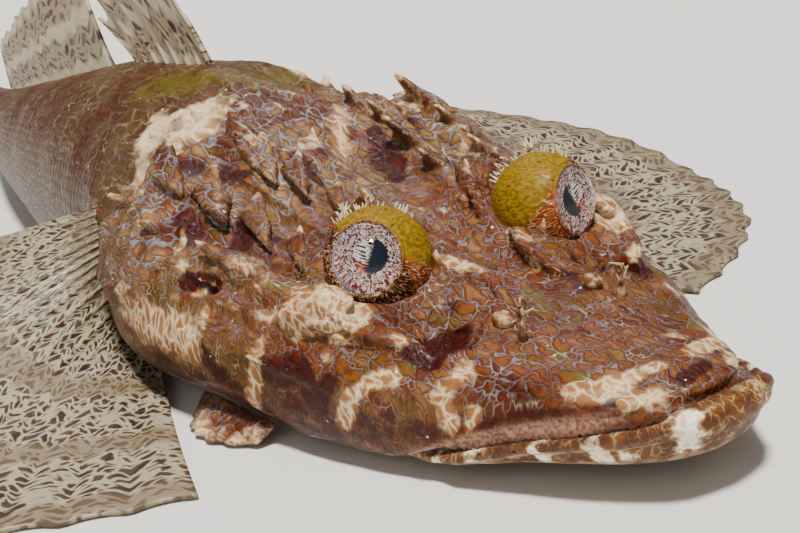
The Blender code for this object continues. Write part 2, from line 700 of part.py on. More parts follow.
def make_caudal(material):
    """The tail fin, half folded so that it clears the floor."""
    rays, rows = 12, 8
    cols = 2 * rays - 1
    middle = np.empty((rows, cols, 3))
    base = np.empty((2, cols, 3))
    foot = SNOUT_TO_TAIL_BASE + GAP
    for j in range(cols):
        spread = 2 * j / (cols - 1) - 1
        z0 = 22 * MM + spread * 8.2 * MM
        lean = radians(2 + 12.5 * spread)
        length = TAIL_FIN_LENGTH * (1 - 0.10 * spread**4) * (1.0 if j % 2 == 0 else 0.975)
        for i in range(rows):
            t = i / (rows - 1)
            middle[i, j] = (foot + cos(lean) * length * t,
                            3.0 * MM * sin(2.6 * t + 2.2 * spread) * t,
                            z0 + sin(lean) * length * t * (1.05 - 0.12 * t))
        stalk = 3.4 * MM * (1 - spread**2) ** 0.5
        for n, sign in enumerate((1, -1)):
            base[n, j] = (foot, sign * (0.6 * MM + stalk), z0)
    half = ray_thickness(rows, cols, 2.2 * MM, 0.8 * MM, 0.36 * MM, 0.3 * MM)
    world = place(middle[..., 0], middle[..., 1], middle[..., 2])
    normal = grid_normals(world)
    if (normal[0, 0] * (place(0.4, 0.001, 0) - place(0.4, 0, 0))).sum() < 0:
        normal = -normal
    flat_base = place(base[..., 0], base[..., 1], base[..., 2])
    return fin_solid("tail_fin", world, normal, half, material, (flat_base[0], flat_base[1]))


def side_point(s, part, grow):
    """A point on the trunk's side: part runs from 0 at the back's mid line to 1 at the belly's."""
    row = body_row(s, grow)
    at = part * (TOP_STEPS + LOW_STEPS)
    index = np.arange(TOP_STEPS + LOW_STEPS + 1)
    return np.array([s, np.interp(at, index, row[1]), np.interp(at, index, row[2])])


def paired_fin(name, side, shape, material):
    """A pectoral or pelvic fin: rays fan out from a line on the trunk's side and droop to the floor."""
    rays, rows = shape["rays"], shape["rows"]
    cols = 2 * rays - 1
    middle = np.empty((rows, cols, 3))
    base = np.empty((2, cols, 3))
    for j in range(cols):
        u = j / (cols - 1)
        s0 = shape["back"][0] + (shape["back"][1] - shape["back"][0]) * u
        part = shape["part"][0] + (shape["part"][1] - shape["part"][0]) * u
        foot = side_point(s0, part, 2 * GAP)
        for n, sign in enumerate((-1, 1)):
            base[n, j] = side_point(s0, part + sign * shape["root_part"], 2 * GAP)
        length = shape["length"](u) * (1.0 if j % 2 == 0 else shape["web_reach"])
        turn = shape["turn"][0] + (shape["turn"][1] - shape["turn"][0]) * u
        curl = shape["curl"][0] + (shape["curl"][1] - shape["curl"][0]) * u
        edge_z = shape["edge_z"](u)
        at = foot.copy()
        step = length / (rows - 1)
        for i in range(rows):
            t = i / (rows - 1)
            drop = shape["drop"](t)
            middle[i, j] = (at[0], at[1], foot[2] + (edge_z - foot[2]) * drop)
            heading = radians(turn + curl * t)
            at = at + np.array([sin(heading), cos(heading), 0]) * step
    half = ray_thickness(rows, cols, shape["root"], shape["ray"], shape["web"], shape["edge"])
    middle[..., 2] = np.maximum(middle[..., 2], half + FLOOR_GAP)
    base[..., 2] = np.maximum(base[..., 2], FLOOR_GAP)
    middle[..., 1] *= side
    base[..., 1] *= side
    world = place(middle[..., 0], middle[..., 1], middle[..., 2])
    normal = grid_normals(world)
    if normal[..., 2].mean() < 0:
        normal = -normal
    flat_base = place(base[..., 0], base[..., 1], base[..., 2])
    return fin_solid(name, world, normal, half, material, (flat_base[0], flat_base[1]))


# Each pair of values runs from the front ray to the rear ray. turn is the way a ray points, in
# degrees back from straight out, and curl is how far it bends by its tip.
PECTORAL = {
    "rays": 17, "rows": 8, "back": (153 * MM, 158 * MM), "part": (0.84, 0.50), "root_part": 0.03,
    "length": lambda u: (88 - 8 * u + 5 * sin(pi * u)) * MM, "web_reach": 0.965,
    "turn": (-66, 44), "curl": (-6, 8),
    "edge_z": lambda u: (0.9 + 24 * max(u - 0.42, 0) ** 1.3 / 0.49) * MM,
    "drop": lambda t: 1 - (1 - t) ** 1.7,
    "root": 1.7 * MM, "ray": 0.85 * MM, "web": 0.4 * MM, "edge": 0.32 * MM,
}
PELVIC = {
    "rays": 6, "rows": 8, "back": (146 * MM, 160 * MM), "part": (0.91, 0.87), "root_part": 0.02,
    "length": lambda u: (52 + 10 * sin(pi * min(u, 1))) * MM, "web_reach": 0.93,
    "turn": (38, 78), "curl": (10, 2),
    "edge_z": lambda u: 1.0 * MM, "drop": lambda t: 1 - (1 - t) ** 2.2,
    "root": 0.9 * MM, "ray": 0.8 * MM, "web": 0.4 * MM, "edge": 0.35 * MM,
}


def make_gill_flap(name, side, material):
    """The scalloped skin flap under the gill cover."""
    rows, cols = 5, 11
    middle = np.empty((rows, cols, 3))
    for j in range(cols):
        u = j / (cols - 1)
        s = (80 + 25 * u) * MM
        reach = (9.5 * sin(pi * (0.10 + 0.84 * u)) ** 0.7 + 0.9 * (-1) ** j) * MM
        row = head_row(s, True)
        y0, z0 = row[1][TOP_STEPS + 3] + 0.75 * MM, row[2][TOP_STEPS + 3] - 0.75 * MM
        for i in range(rows):
            t = i / (rows - 1)
            middle[i, j] = (s + 0.2 * reach * t, y0 + 0.92 * reach * t, z0 - (z0 - 1.1 * MM) * t ** 0.8)
    half = np.full((rows, cols), 0.42 * MM)
    middle[..., 1] *= side
    world = place(middle[..., 0], middle[..., 1], middle[..., 2])
    normal = grid_normals(world)
    if normal[..., 2].mean() < 0:
        normal = -normal
    return fin_solid(name, world, normal, half, material)


def centre_origin(pieces):
    """Moves the whole fish so that the origin is under the middle of its box, on the floor."""
    corners = np.array([v.co for p in pieces for v in p.data.vertices])
    low, high = corners.min(0), corners.max(0)
    shift = Vector((-(low[0] + high[0]) / 2, -(low[1] + high[1]) / 2, -low[2]))
    for piece in pieces:
        for vertex in piece.data.vertices:
            vertex.co += shift


def main():
    for old in list(bpy.data.objects):
        bpy.data.objects.remove(old)
    skin = make_material("skin", (0.36, 0.16, 0.07), 0.5)
    lip = make_material("jaw_skin", (0.45, 0.30, 0.17), 0.45)
    eye = make_material("eye_skin", (0.50, 0.34, 0.03), 0.3)
    fin = make_material("fin_skin", (0.48, 0.38, 0.26), 0.5)
    pieces = [make_head(skin), make_jaw(lip), make_torso(skin), make_tail(skin)]
    pieces.append(make_eye("eye_right", 1, eye))
    pieces.append(make_eye("eye_left", -1, eye))
    pieces.append(median_fin("first_dorsal_fin", body_top, FIRST_DORSAL, 2.0, 8, SPINY, fin))
    pieces.append(median_fin("second_dorsal_fin", body_top, SECOND_DORSAL, -2.5, 6, SOFT, fin))
    pieces.append(median_fin("anal_fin", body_low, ANAL, 1.0, 4, SOFT, fin, below=True))
    pieces.append(make_caudal(fin))
    for word, side in (("right", 1), ("left", -1)):
        pieces.append(paired_fin("pectoral_fin_" + word, side, PECTORAL, fin))
        pieces.append(paired_fin("pelvic_fin_" + word, side, PELVIC, fin))
        pieces.append(make_gill_flap("gill_flap_" + word, side, lip))
    centre_origin(pieces)


main()
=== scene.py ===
import math
import random
from functools import partial

import bpy
import numpy as np
from mathutils import Matrix, Vector, noise
from mathutils.bvhtree import BVHTree


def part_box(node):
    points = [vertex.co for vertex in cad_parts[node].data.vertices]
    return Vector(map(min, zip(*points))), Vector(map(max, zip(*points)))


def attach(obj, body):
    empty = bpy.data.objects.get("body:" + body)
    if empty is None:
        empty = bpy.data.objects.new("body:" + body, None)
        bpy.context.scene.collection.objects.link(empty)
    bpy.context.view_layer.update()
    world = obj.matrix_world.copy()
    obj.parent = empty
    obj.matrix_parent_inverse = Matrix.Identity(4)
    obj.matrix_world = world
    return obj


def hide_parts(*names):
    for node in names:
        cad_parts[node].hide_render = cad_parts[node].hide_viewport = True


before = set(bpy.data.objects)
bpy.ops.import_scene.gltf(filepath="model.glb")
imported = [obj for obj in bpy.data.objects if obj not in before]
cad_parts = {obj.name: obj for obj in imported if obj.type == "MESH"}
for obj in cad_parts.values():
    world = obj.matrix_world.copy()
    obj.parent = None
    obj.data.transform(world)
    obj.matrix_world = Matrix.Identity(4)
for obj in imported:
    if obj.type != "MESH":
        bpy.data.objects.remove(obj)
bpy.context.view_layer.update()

bpy.ops.object.select_all(action="DESELECT")  # loading leaves the CAD nodes selected

# The fish's own layout, in mm: s runs back from the snout, y out to its right, z up from the floor
fish = {"noseX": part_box("head")[1].x * 1000, "tailSwing": 15, "swingStart": 190, "tailTip": 458}


def centreLine():
    station = np.linspace(-20, 480, 1001)
    turn = np.clip((station - fish["swingStart"]) / (fish["tailTip"] - fish["swingStart"]), 0, 1)
    heading = math.radians(fish["tailSwing"]) * turn * turn * (3 - 2 * turn)
    step = station[1] - station[0]
    back = np.concatenate([[0], np.cumsum(np.cos(heading[:-1]) * step)]) + station[0]
    drift = np.concatenate([[0], np.cumsum(np.sin(heading[:-1]) * step)])
    return station, back, drift, heading


spine = centreLine()


def fishToWorld(s, y, z):
    station, back, drift, heading = spine
    s, y, z = np.broadcast_arrays(np.asarray(s, float), y, z)
    h = np.interp(s, station, heading)
    along = np.interp(s, station, back) + y * np.sin(h)
    across = np.interp(s, station, drift) - y * np.cos(h)
    return np.stack([fish["noseX"] - along, across, z], axis=-1) / 1000


def worldToFish(co):
    station, back, drift, heading = spine
    place = np.asarray(co, float) * 1000
    s = fish["noseX"] - place[:, 0]
    for _ in range(4):  # walks along the bent centre line to the nearest station
        h = np.interp(s, station, heading)
        dx = place[:, 0] - fish["noseX"] + np.interp(s, station, back)
        dy = place[:, 1] - np.interp(s, station, drift)
        s = s - dx * np.cos(h) + dy * np.sin(h)
    return np.stack([s, -dx * np.sin(h) - dy * np.cos(h), place[:, 2]], axis=-1)


def deselectAll():
    if bpy.context.object and bpy.context.object.mode != "OBJECT":
        bpy.ops.object.mode_set(mode="OBJECT")
    bpy.ops.object.select_all(action="DESELECT")


def makeActive(piece):
    deselectAll()
    piece.select_set(True)
    bpy.context.view_layer.objects.active = piece


def addMesh(shape, **settings):
    # one of Blender's own meshes, at the origin unless the settings say otherwise
    deselectAll()
    shape(**{"location": (0, 0, 0), **settings})
    return bpy.context.object


def editMesh(piece, tool, **settings):
    # one of the mesh tools, over the whole mesh
    makeActive(piece)
    bpy.ops.object.mode_set(mode="EDIT")
    bpy.ops.mesh.select_all(action="SELECT")
    tool(**settings)
    bpy.ops.object.mode_set(mode="OBJECT")


def applyModifier(piece, kind, **settings):
    makeActive(piece)
    modifier = piece.modifiers.new(kind.title(), kind)
    for key, value in settings.items():
        setattr(modifier, key, value)
    bpy.ops.object.modifier_apply(modifier=modifier.name)


def readPoints(piece, field="co"):
    flat = np.empty(len(piece.data.vertices) * 3)
    piece.data.vertices.foreach_get(field, flat)
    return flat.reshape(-1, 3)


def writePoints(piece, co):
    piece.data.vertices.foreach_set("co", np.asarray(co, float).ravel())
    piece.data.update()


def writeColours(piece, name, *columns):
    rows = np.stack([*columns, np.ones(len(columns[0]))], axis=-1).astype(np.float32)
    piece.data.attributes.new(name, "FLOAT_COLOR", "POINT").data.foreach_set("color", rows.ravel())


def writePlaces(piece, name, *columns):
    rows = np.stack(columns, axis=-1).astype(np.float32)
    piece.data.attributes.new(name, "FLOAT_VECTOR", "POINT").data.foreach_set("vector", rows.ravel())


def joinPieces(pieces, name):
    deselectAll()
    for piece in pieces:
        piece.select_set(True)
    bpy.context.view_layer.objects.active = pieces[0]
    bpy.ops.object.join()
    pieces[0].name = pieces[0].data.name = name
    return pieces[0]


def copyNode(node, name):
    # a CAD node's mesh is loose triangles, so its copy is merged before anything else
    makeActive(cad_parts[node])
    bpy.ops.object.duplicate()
    piece = bpy.context.object
    piece.name = name
    piece.parent = None
    for key in list(piece.keys()):
        del piece[key]
    piece.data.materials.clear()
    editMesh(piece, bpy.ops.mesh.remove_doubles, threshold=0.00001)
    return piece


def plantCopy(template, foot, axes, sizes):
    # a copy of a small template with its own mesh, its x, y and z along three directions, its sizes in mm
    piece = bpy.data.objects.new(template.name, template.data.copy())
    bpy.context.scene.collection.objects.link(piece)
    co = readPoints(piece) * sizes
    world = np.outer(co[:, 0], axes[0]) + np.outer(co[:, 1], axes[1]) + np.outer(co[:, 2], axes[2])
    writePoints(piece, world / 1000 + np.array(foot))
    return piece


def dress(piece, material, slot, *nodes):
    makeActive(piece)
    bpy.ops.object.shade_smooth()
    piece.data.materials.clear()
    piece.data.materials.append(material)
    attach(piece, "root")
    if nodes:
        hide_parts(*nodes)


def pathDistance(place, path):
    # distance of every point to a line of points, and how far along the line the nearest spot is
    path = np.array(path, float)
    best = np.full(len(place), 1e9)
    along = np.zeros(len(place))
    for i in range(len(path) - 1):
        step = path[i + 1] - path[i]
        t = np.clip(((place - path[i]) @ step) / (step @ step), 0, 1)
        gap = np.linalg.norm(place - path[i] - t[:, None] * step, axis=1)
        nearer = gap < best
        best = np.where(nearer, gap, best)
        along = np.where(nearer, (i + t) / (len(path) - 1), along)
    return best, along


def gapTo(points, spot):
    return np.linalg.norm(points - np.array(spot), axis=1)


def mirror(place):
    # both sides of the fish laid on its right side
    return place * (1, 0, 1) + np.abs(place) * (0, 1, 0)


def easeStep(low, high, value):
    t = np.clip((value - low) / (high - low), 0, 1)
    return t * t * (3 - 2 * t)


def bell(gap, half):
    return np.exp(-((gap / half) ** 2))


def noiseField(place, size, seed=0.0):
    # smooth noise of about that size in mm at each point, from -1 to 1
    shift = Vector((seed, seed * 1.7, -seed))
    return np.array([noise.noise(Vector(p) / size + shift) for p in place])


# Skin: the flesh nodes are joined and remeshed in one, then shaped by listed marks
skinShape = {  # heights, depths and sizes in mm
    "voxel": 0.72,
    "faces": 190000,
    "fold": 1.45,  # the long folds on the head, their size and how far they are drawn out
    "foldSize": 12.0,
    "foldStretch": 0.27,
    "underFold": 0.45,  # the hollow below a fold
    "smallFold": 0.34,
    "smallFoldSize": 4.6,
    "wrinkle": 0.30,  # the flesh's unevenness
    "fineWrinkle": 0.09,
    "mouthDepth": 1.5,
    "mouthHalf": 0.62,
    "lipSwell": 0.55,
    "lipCreaseDepth": 0.5,
    "gillDepth": 0.9,
    "gillSwell": 0.7,
    "tailOverlap": 1.5,
    "trunkSwell": 0.62,
    "jawSwell": 0.42,
    "eyeBed": 8.2,  # radius of the flesh that closes the skin behind each eye
    "peakSize": 1.24,  # the peaks' size against their table, and how much it varies
    "peakSpread": 0.24,
    "orbit": 12.4,  # radius of the row of teeth round the eye, their width, and their lean in degrees
    "toothWidth": 1.9,
    "toothLean": 68,
}
plainNostrils = ((45, 11.2, 3.4), (39, 9.7, 2.6))  # the solids' own, to be pressed flat: s, y, reach
seams = {}  # surfaces of the solids' head, torso and jaw, which meet at the mouth and the gill cover
peakTips = []
calmSpots = []  # place and reach of each small form that keeps the shape it was given

eyeSet = {
    "back": 66, "out": 20, "up": 34.5, "radius": 10.4,
    "gazeRight": (0.60, 0.70, 0.38), "gazeLeft": (0.92, 0.36, 0.14),
}

# Crease over the upper lip, from the snout round to the corner of the mouth: s, y, z
lipCrease = ((2.5, 6.0, 19.0), (6, 9.6, 19.2), (12, 14.2, 18.6), (20, 19.0, 16.8), (30, 24.6, 14.4),
             (38, 29.0, 11.6))

# Fleshy hooked peaks on the bony lines: s, y, length, width, lean from level in degrees
peakSet = (
    (57, 12.5, 2.6, 2.0, 60), (79, 11.8, 3.8, 3.4, 58), (90, 12.6, 3.6, 3.4, 56), (102, 14.2, 4.6, 4.0, 56),
    (112, 16.4, 4.2, 3.8, 54), (122, 15.2, 5.6, 4.8, 58), (133, 19.8, 4.8, 4.2, 52), (142, 13.5, 4.6, 4.2, 50),
    (147, 22, 4.2, 4.0, 46), (82, 27.6, 3.6, 3.0, 56), (95, 28.6, 4.0, 3.6, 54), (109, 30.8, 5.0, 4.2, 56),
    (124, 32.8, 6.2, 5.2, 58), (139, 31.0, 5.0, 4.6, 50), (131, 39.5, 4.6, 4.0, 40), (115, 40.0, 3.8, 3.4, 40),
    (92, 37.6, 4.8, 4.2, 36), (99, 42.0, 3.8, 3.4, 24), (144, 36.6, 4.6, 4.0, 30),
)
orbitTeeth = ((10, 1.9), (22, 2.3), (34, 2.7), (47, 2.9), (60, 2.7), (73, 2.2))
lobeSet = (  # fleshy lobes: path of s, y, lift over the skin, and half widths
    (((77, 37.4, -0.8), (70, 35.6, 1.0), (64, 33.4, 1.9), (59, 31.6, 2.3)), (2.2, 3.6, 3.8, 2.0)),
    (((47, 27.0, -0.8), (52, 29.8, 0.6), (57, 32.6, 1.3), (62, 35.0, 2.0)), (1.6, 2.0, 1.6, 0.7)),
    (((63, 9.8, 0.0), (57, 7.4, 0.8), (50, 6.2, 0.8), (43, 7.4, -0.4)), (1.5, 1.7, 1.5, 1.0)),
    (((47, 18.0, 0.2), (43, 15.6, 0.8), (40, 18.6, 0.6), (38, 23.5, -0.2)), (1.4, 1.7, 1.6, 1.2)),
)

# Raised lines and hollows over the solids: path or place in s, y, z, then height and half width
raisedLines = (
    (((61, 34, 26.5), (74, 37, 26.8), (82, 39.6, 26.5), (90, 41.4, 27.8), (98, 43, 29.2), (105, 46, 27)), 1.3, 2.0),
    (((80, 35, 30.6), (87, 36, 32), (93, 36.6, 33.4)), 1.4, 2.0),
    (((63, 12, 31), (74, 9.5, 33), (86, 11.5, 38), (98, 13.4, 42), (112, 16.6, 47), (128, 19.6, 51)), 0.9, 1.4),
    (((80, 27, 36), (95, 28.6, 40), (109, 31, 43), (124, 33, 45), (140, 32, 47)), 0.9, 1.4),
    (((30, 21, 20.5), (40, 25, 23.5), (50, 28, 25)), 0.8, 1.8),
    (((20, 5, 22.5), (32, 7, 25), (42, 8, 27)), 0.6, 1.6),
    (((12, 11.5, 20), (24, 16.5, 21), (36, 22, 22)), 0.5, 1.4),
)
pressedHollows = (  # s, y, z, depth, radius
    (46.0, 22.6, 23.3, 2.7, 5.6), (42.6, 24.6, 23.6, 1.9, 3.6), (99, 43.2, 31, 2.4, 3.8), (104, 10, 43, 1.2, 6),
    (100, 22, 38, 1.4, 6), (88, 21, 35, 1.0, 5), (57, 30, 24.5, 1.0, 3.0), (118, 25, 45, 1.0, 5),
    (72, 4, 31, 0.8, 5),
)


def eyeCentre(side):
    return Vector(fishToWorld(eyeSet["back"], side * eyeSet["out"], eyeSet["up"]))


def eyeAxes(side):
    look = eyeSet["gazeRight"] if side > 0 else eyeSet["gazeLeft"]
    gaze = Vector((look[0], -side * look[1], look[2])).normalized()
    ahead = (Vector((1, 0, 0)) - gaze * gaze.x).normalized()
    up = gaze.cross(ahead)
    return gaze, ahead, up if up.z > 0 else -up


def surfaceTree(pieces):
    corners, faces = [], []
    for piece in pieces:
        start = len(corners)
        corners += [v.co.copy() for v in piece.data.vertices]
        faces += [[start + v for v in face.vertices] for face in piece.data.polygons]
    return BVHTree.FromPolygons(corners, faces)


def onTop(tree, s, y):
    # the skin's point above a place on the fish, with its normal
    x, across, _ = fishToWorld(s, y, 0)
    spot, normal, _, _ = tree.ray_cast(Vector((x, across, 0.2)), Vector((0, 0, -1)))
    return spot, normal


def peakShape():
    # one peak, 1 unit high on a base of 1 unit: a thin triangular flap along the body, hooked back
    peak = addMesh(bpy.ops.mesh.primitive_cone_add, vertices=12, radius1=0.5, radius2=0.06, depth=1)
    editMesh(peak, bpy.ops.mesh.subdivide, number_cuts=3)
    co = readPoints(peak) + (0, 0, 0.5)
    rise = np.clip(co[:, 2], 0, 1)
    waist = 1 - 0.10 * np.sin(rise * math.pi)
    co[:, 0] = co[:, 0] * 3.1 * waist + 0.40 * rise**2
    co[:, 1] = co[:, 1] * (0.62 + 1.1 * rise**3)
    co[:, 2] = co[:, 2] * 1.35 - 0.35
    writePoints(peak, co)
    return peak


def setOnSkin(template, spot, normal, back, length, width, lean):
    # the template's x runs along the body's back and its z is raised by the lean
    side = back.cross(normal).normalized()
    flat = normal.cross(side).normalized() * -1
    if flat.dot(back) < 0:
        flat = -flat
    up = (normal * math.sin(math.radians(lean)) + flat * math.cos(math.radians(lean))).normalized()
    return plantCopy(template, spot, (flat, side, up), (width, width, length))


def lobeShape(tree, path, widths, side):
    # a flattened finger of flesh along a path over the skin
    piece = addMesh(bpy.ops.mesh.primitive_uv_sphere_add, segments=14, ring_count=22, radius=1)
    co = readPoints(piece)
    spots = []
    for s, y, lift in path:
        spot, normal = onTop(tree, s, side * y)
        spots.append(np.array(spot + normal * lift / 1000))
    calmSpots.extend((spot, 0.0016 + width / 1000) for spot, width in zip(spots, widths))
    spots = np.array(spots)
    steps = np.arange(len(spots))
    share = (co[:, 2] + 1) / 2 * (len(spots) - 1)
    middle = np.stack([np.interp(share, steps, spots[:, i]) for i in range(3)], axis=-1)
    width = np.interp(share, steps, widths) / 1000
    ring = np.sqrt(np.clip(1 - co[:, 2] ** 2, 1e-6, 1))
    run = (spots[-1] - spots[0]) / np.linalg.norm(spots[-1] - spots[0])
    across = np.cross(run, (0.0, -side * 0.35, 0.94))
    across /= np.linalg.norm(across)
    up = np.cross(across, run)
    shape = np.clip(ring * 1.6, 0, 1)
    writePoints(piece, middle + np.outer(co[:, 0] / ring * shape * width, across)
                + np.outer(co[:, 1] / ring * shape * width * 0.5, up))
    return piece


def pressFlat(piece, s, y, reach):
    # takes a small form off the copy: what stands up inside the circle comes down to the skin round it
    co, normal = readPoints(piece), readPoints(piece, "normal")
    place = worldToFish(co)
    gap = np.hypot(place[:, 0] - s, place[:, 1] - y)
    ring = (gap > reach) & (gap < reach + 3) & (normal[:, 2] > 0.5)
    rows = np.column_stack([co[ring, 0], co[ring, 1], np.ones(ring.sum())])
    plane = np.linalg.lstsq(rows, co[ring, 2], rcond=None)[0]
    level = co[:, 0] * plane[0] + co[:, 1] * plane[1] + plane[2]
    inside = (gap < reach) & (co[:, 2] > level)
    co[inside, 2] = level[inside]
    writePoints(piece, co)


def depthUnder(tree, co):
    # how far each point is from a surface, in mm
    return np.array([tree.find_nearest(Vector(p))[3] for p in co]) * 1000


def plantPeaks(tree, template, side):
    # hooked peaks on the bony lines and small teeth round the orbit
    made = []
    for n, (s, y, length, width, lean) in enumerate(peakSet):
        spot, normal = onTop(tree, s, side * y)
        spot = spot - normal * 0.0006
        back = Vector((-1, -side * 0.10, 0)).normalized()
        size = skinShape["peakSize"] + skinShape["peakSpread"] * math.sin(5.1 * n + side)
        peak = setOnSkin(template, spot, normal, back, length * size, width * size, lean)
        tip = readPoints(peak)[readPoints(template)[:, 2].argmax()]
        peakTips.append(tip)
        calmSpots.append((tip, 0.0024))
        calmSpots.append((0.5 * (tip + np.array(spot)), 0.0007 * length))
        made.append(peak)
    for turn, length in orbitTeeth:
        s = eyeSet["back"] + skinShape["orbit"] * math.cos(math.radians(turn))
        y = eyeSet["out"] - skinShape["orbit"] * math.sin(math.radians(turn))
        spot, normal = onTop(tree, s, side * y)
        made.append(setOnSkin(template, spot - normal * 0.0004, normal, Vector((-1, 0, 0)), length,
                              skinShape["toothWidth"], skinShape["toothLean"]))
    return made


def buildSkinBase():
    parts = [copyNode(node, "skin_" + node) for node in ("head", "torso", "tail_stalk", "lower_jaw")]
    head, torso, tail, jaw = parts
    for side in (1, -1):  # the solids' plain nostrils and tentacles give way to the detailed ones
        for s, y, reach in plainNostrils:
            pressFlat(head, s, side * y, reach)
    tree = surfaceTree([head, torso])
    seams.update(head=surfaceTree([head]), torso=surfaceTree([torso]), jaw=surfaceTree([jaw]))
    co, normal = readPoints(torso), readPoints(torso, "normal")
    front = 1 - easeStep(150, 172, worldToFish(co)[:, 0])
    writePoints(torso, co + normal * front[:, None] * skinShape["trunkSwell"] / 1000)
    place = worldToFish(readPoints(tail))
    place[:, 0] -= np.where(place[:, 0] < 263, skinShape["tailOverlap"], 0)
    writePoints(tail, fishToWorld(place[:, 0], place[:, 1], place[:, 2]))
    writePoints(jaw, readPoints(jaw) + readPoints(jaw, "normal") * skinShape["jawSwell"] / 1000)
    template = peakShape()
    for side in (1, -1):
        parts += plantPeaks(tree, template, side)
        parts += [lobeShape(tree, path, widths, side) for path, widths in lobeSet]
        parts.append(addMesh(bpy.ops.mesh.primitive_uv_sphere_add, segments=48, ring_count=24,
                             radius=skinShape["eyeBed"] / 1000,
                             location=eyeCentre(side) - eyeAxes(side)[0] * 0.0016))
        bpy.ops.object.transform_apply(location=True, rotation=True, scale=True)
    bpy.data.objects.remove(template)
    skin = joinPieces(parts, "flatheadSkin")
    skin.data.remesh_voxel_size = skinShape["voxel"] / 1000
    makeActive(skin)
    bpy.ops.object.voxel_remesh()
    print("skin remeshed:", len(skin.data.polygons), "faces")
    return skin


def thinBody(skin):
    # the trunk and the underside take fewer faces than the head
    place = worldToFish(readPoints(skin))
    normal = readPoints(skin, "normal")
    weight = easeStep(140, 175, place[:, 0])
    weight = np.maximum(weight, easeStep(0.5, 0.9, -normal[:, 2]) * 0.8)
    group = skin.vertex_groups.new(name="thin")
    for level in range(1, 11):
        chosen = np.nonzero(np.round(weight * 10) == level)[0]
        group.add(chosen.tolist(), level / 10, "REPLACE")
    editMesh(skin, bpy.ops.mesh.quads_convert_to_tris)
    ratio = min(1, skinShape["faces"] / len(skin.data.polygons))
    applyModifier(skin, "DECIMATE", ratio=ratio, vertex_group="thin", vertex_group_factor=1.0)
    skin.vertex_groups.clear()
    print("skin thinned:", len(skin.data.polygons), "faces")


def gillReach(place):
    # the gill slit runs down the sides, from the cheek to the trunk, and not across the nape
    s, out = place[:, 0], np.abs(place[:, 1])
    return easeStep(96, 108, s) * (1 - easeStep(154, 158, s)) * easeStep(20, 30, out)


def sculptSkin(skin):
    applyModifier(skin, "SMOOTH", factor=0.5, iterations=3)
    co, normal = readPoints(skin), readPoints(skin, "normal")
    form, place = skinShape, worldToFish(co)
    mirrored = mirror(place)
    move = np.zeros(len(co))
    for path, height, half in raisedLines:
        move += height * bell(pathDistance(mirrored, path)[0], half)
    for s, y, z, depth, radius in pressedHollows:
        move -= depth * bell(gapTo(mirrored, (s, y, z)), radius)
    # folds of flesh drawn out along the head, their crests leaning back
    head = 1 - easeStep(152, 184, place[:, 0])
    back = easeStep(34, 84, place[:, 0])
    sway = noiseField(place, form["foldSize"], 6.3)[:, None]
    bent = (place + sway * (3, 1.7, 1.7)) * (form["foldStretch"], 1, 1)
    inward = np.stack([np.full(len(co), 0.6), -1.4 * np.sign(place[:, 1]), np.full(len(co), 0.8)], axis=-1)
    crest = 1 - 2.2 * np.abs(noiseField(bent, form["foldSize"], 1.2))
    above = 1 - 2.2 * np.abs(noiseField(bent + inward, form["foldSize"], 1.2))
    patch = easeStep(-0.15, 0.25, noiseField(place, 19.0, 9.7))
    under = easeStep(0.10, 0.50, above - crest) * patch * head * back
    upper = easeStep(-0.2, 0.4, normal[:, 2])
    fold = head * (0.24 + 0.76 * back) * (0.35 + 0.65 * upper)
    move += form["fold"] * fold * (crest + 0.25 * easeStep(0.8, 1.0, crest))
    move -= form["underFold"] * under
    small = (place + sway * 2) * (0.55, 1, 1)
    move += form["smallFold"] * fold * (1 - 2.2 * np.abs(noiseField(small, form["smallFoldSize"], 4.4)))
    # unevenness of the flesh, stronger on the head's top than on the snout and the belly
    rough = (0.35 + 0.65 * head) * (0.35 + 0.65 * upper)
    move += form["wrinkle"] * rough * noiseField(place * (0.7, 1, 1), 5.0, 3.1)
    move += form["fineWrinkle"] * rough * noiseField(place * (0.6, 1, 1), 2.2, 8.4)
    # mouth and gill cover: creases where two solids meet, with the flesh swelling beside them
    fromHead = depthUnder(seams["head"], co)
    lipSide = fromHead - depthUnder(seams["jaw"], co)
    fade = 1 - easeStep(40, 46, place[:, 0])
    move -= form["mouthDepth"] * bell(lipSide, form["mouthHalf"]) * fade
    move += form["lipSwell"] * bell(np.abs(lipSide) - 1.9, 0.9) * fade
    gillSide = fromHead - depthUnder(seams["torso"], co)
    move -= form["gillDepth"] * bell(gillSide - 0.4, 0.7) * gillReach(place)
    move += form["gillSwell"] * bell(gillSide + 1.6, 1.2) * gillReach(place)
    gap, along = pathDistance(mirrored, lipCrease)
    move -= form["lipCreaseDepth"] * bell(gap, 0.7) * (1 - easeStep(0.9, 1.0, along))
    for spot, reach in calmSpots:
        move *= 1 - 0.9 * bell(gapTo(co, spot), reach)
    for side in (1, -1):  # the bed of each eye stays as it is
        move *= easeStep(9.9, 10.9, gapTo(co, eyeCentre(side)) * 1000)
    co = co + normal * move[:, None] / 1000
    co[:, 2] = np.maximum(co[:, 2], 0)
    writePoints(skin, co)
    applyModifier(skin, "SMOOTH", factor=0.3, iterations=1)
    # crest lines for the colour on upward-facing folds: partly the fish's own cream crests, partly painted
    # highlight
    ridge = easeStep(0.88, 0.99, crest) * back * head * upper * easeStep(-0.1, 0.3, noiseField(place, 8.0, 2.9))
    return {"move": move, "lipSide": lipSide, "gillSide": gillSide, "ridge": ridge, "under": under}


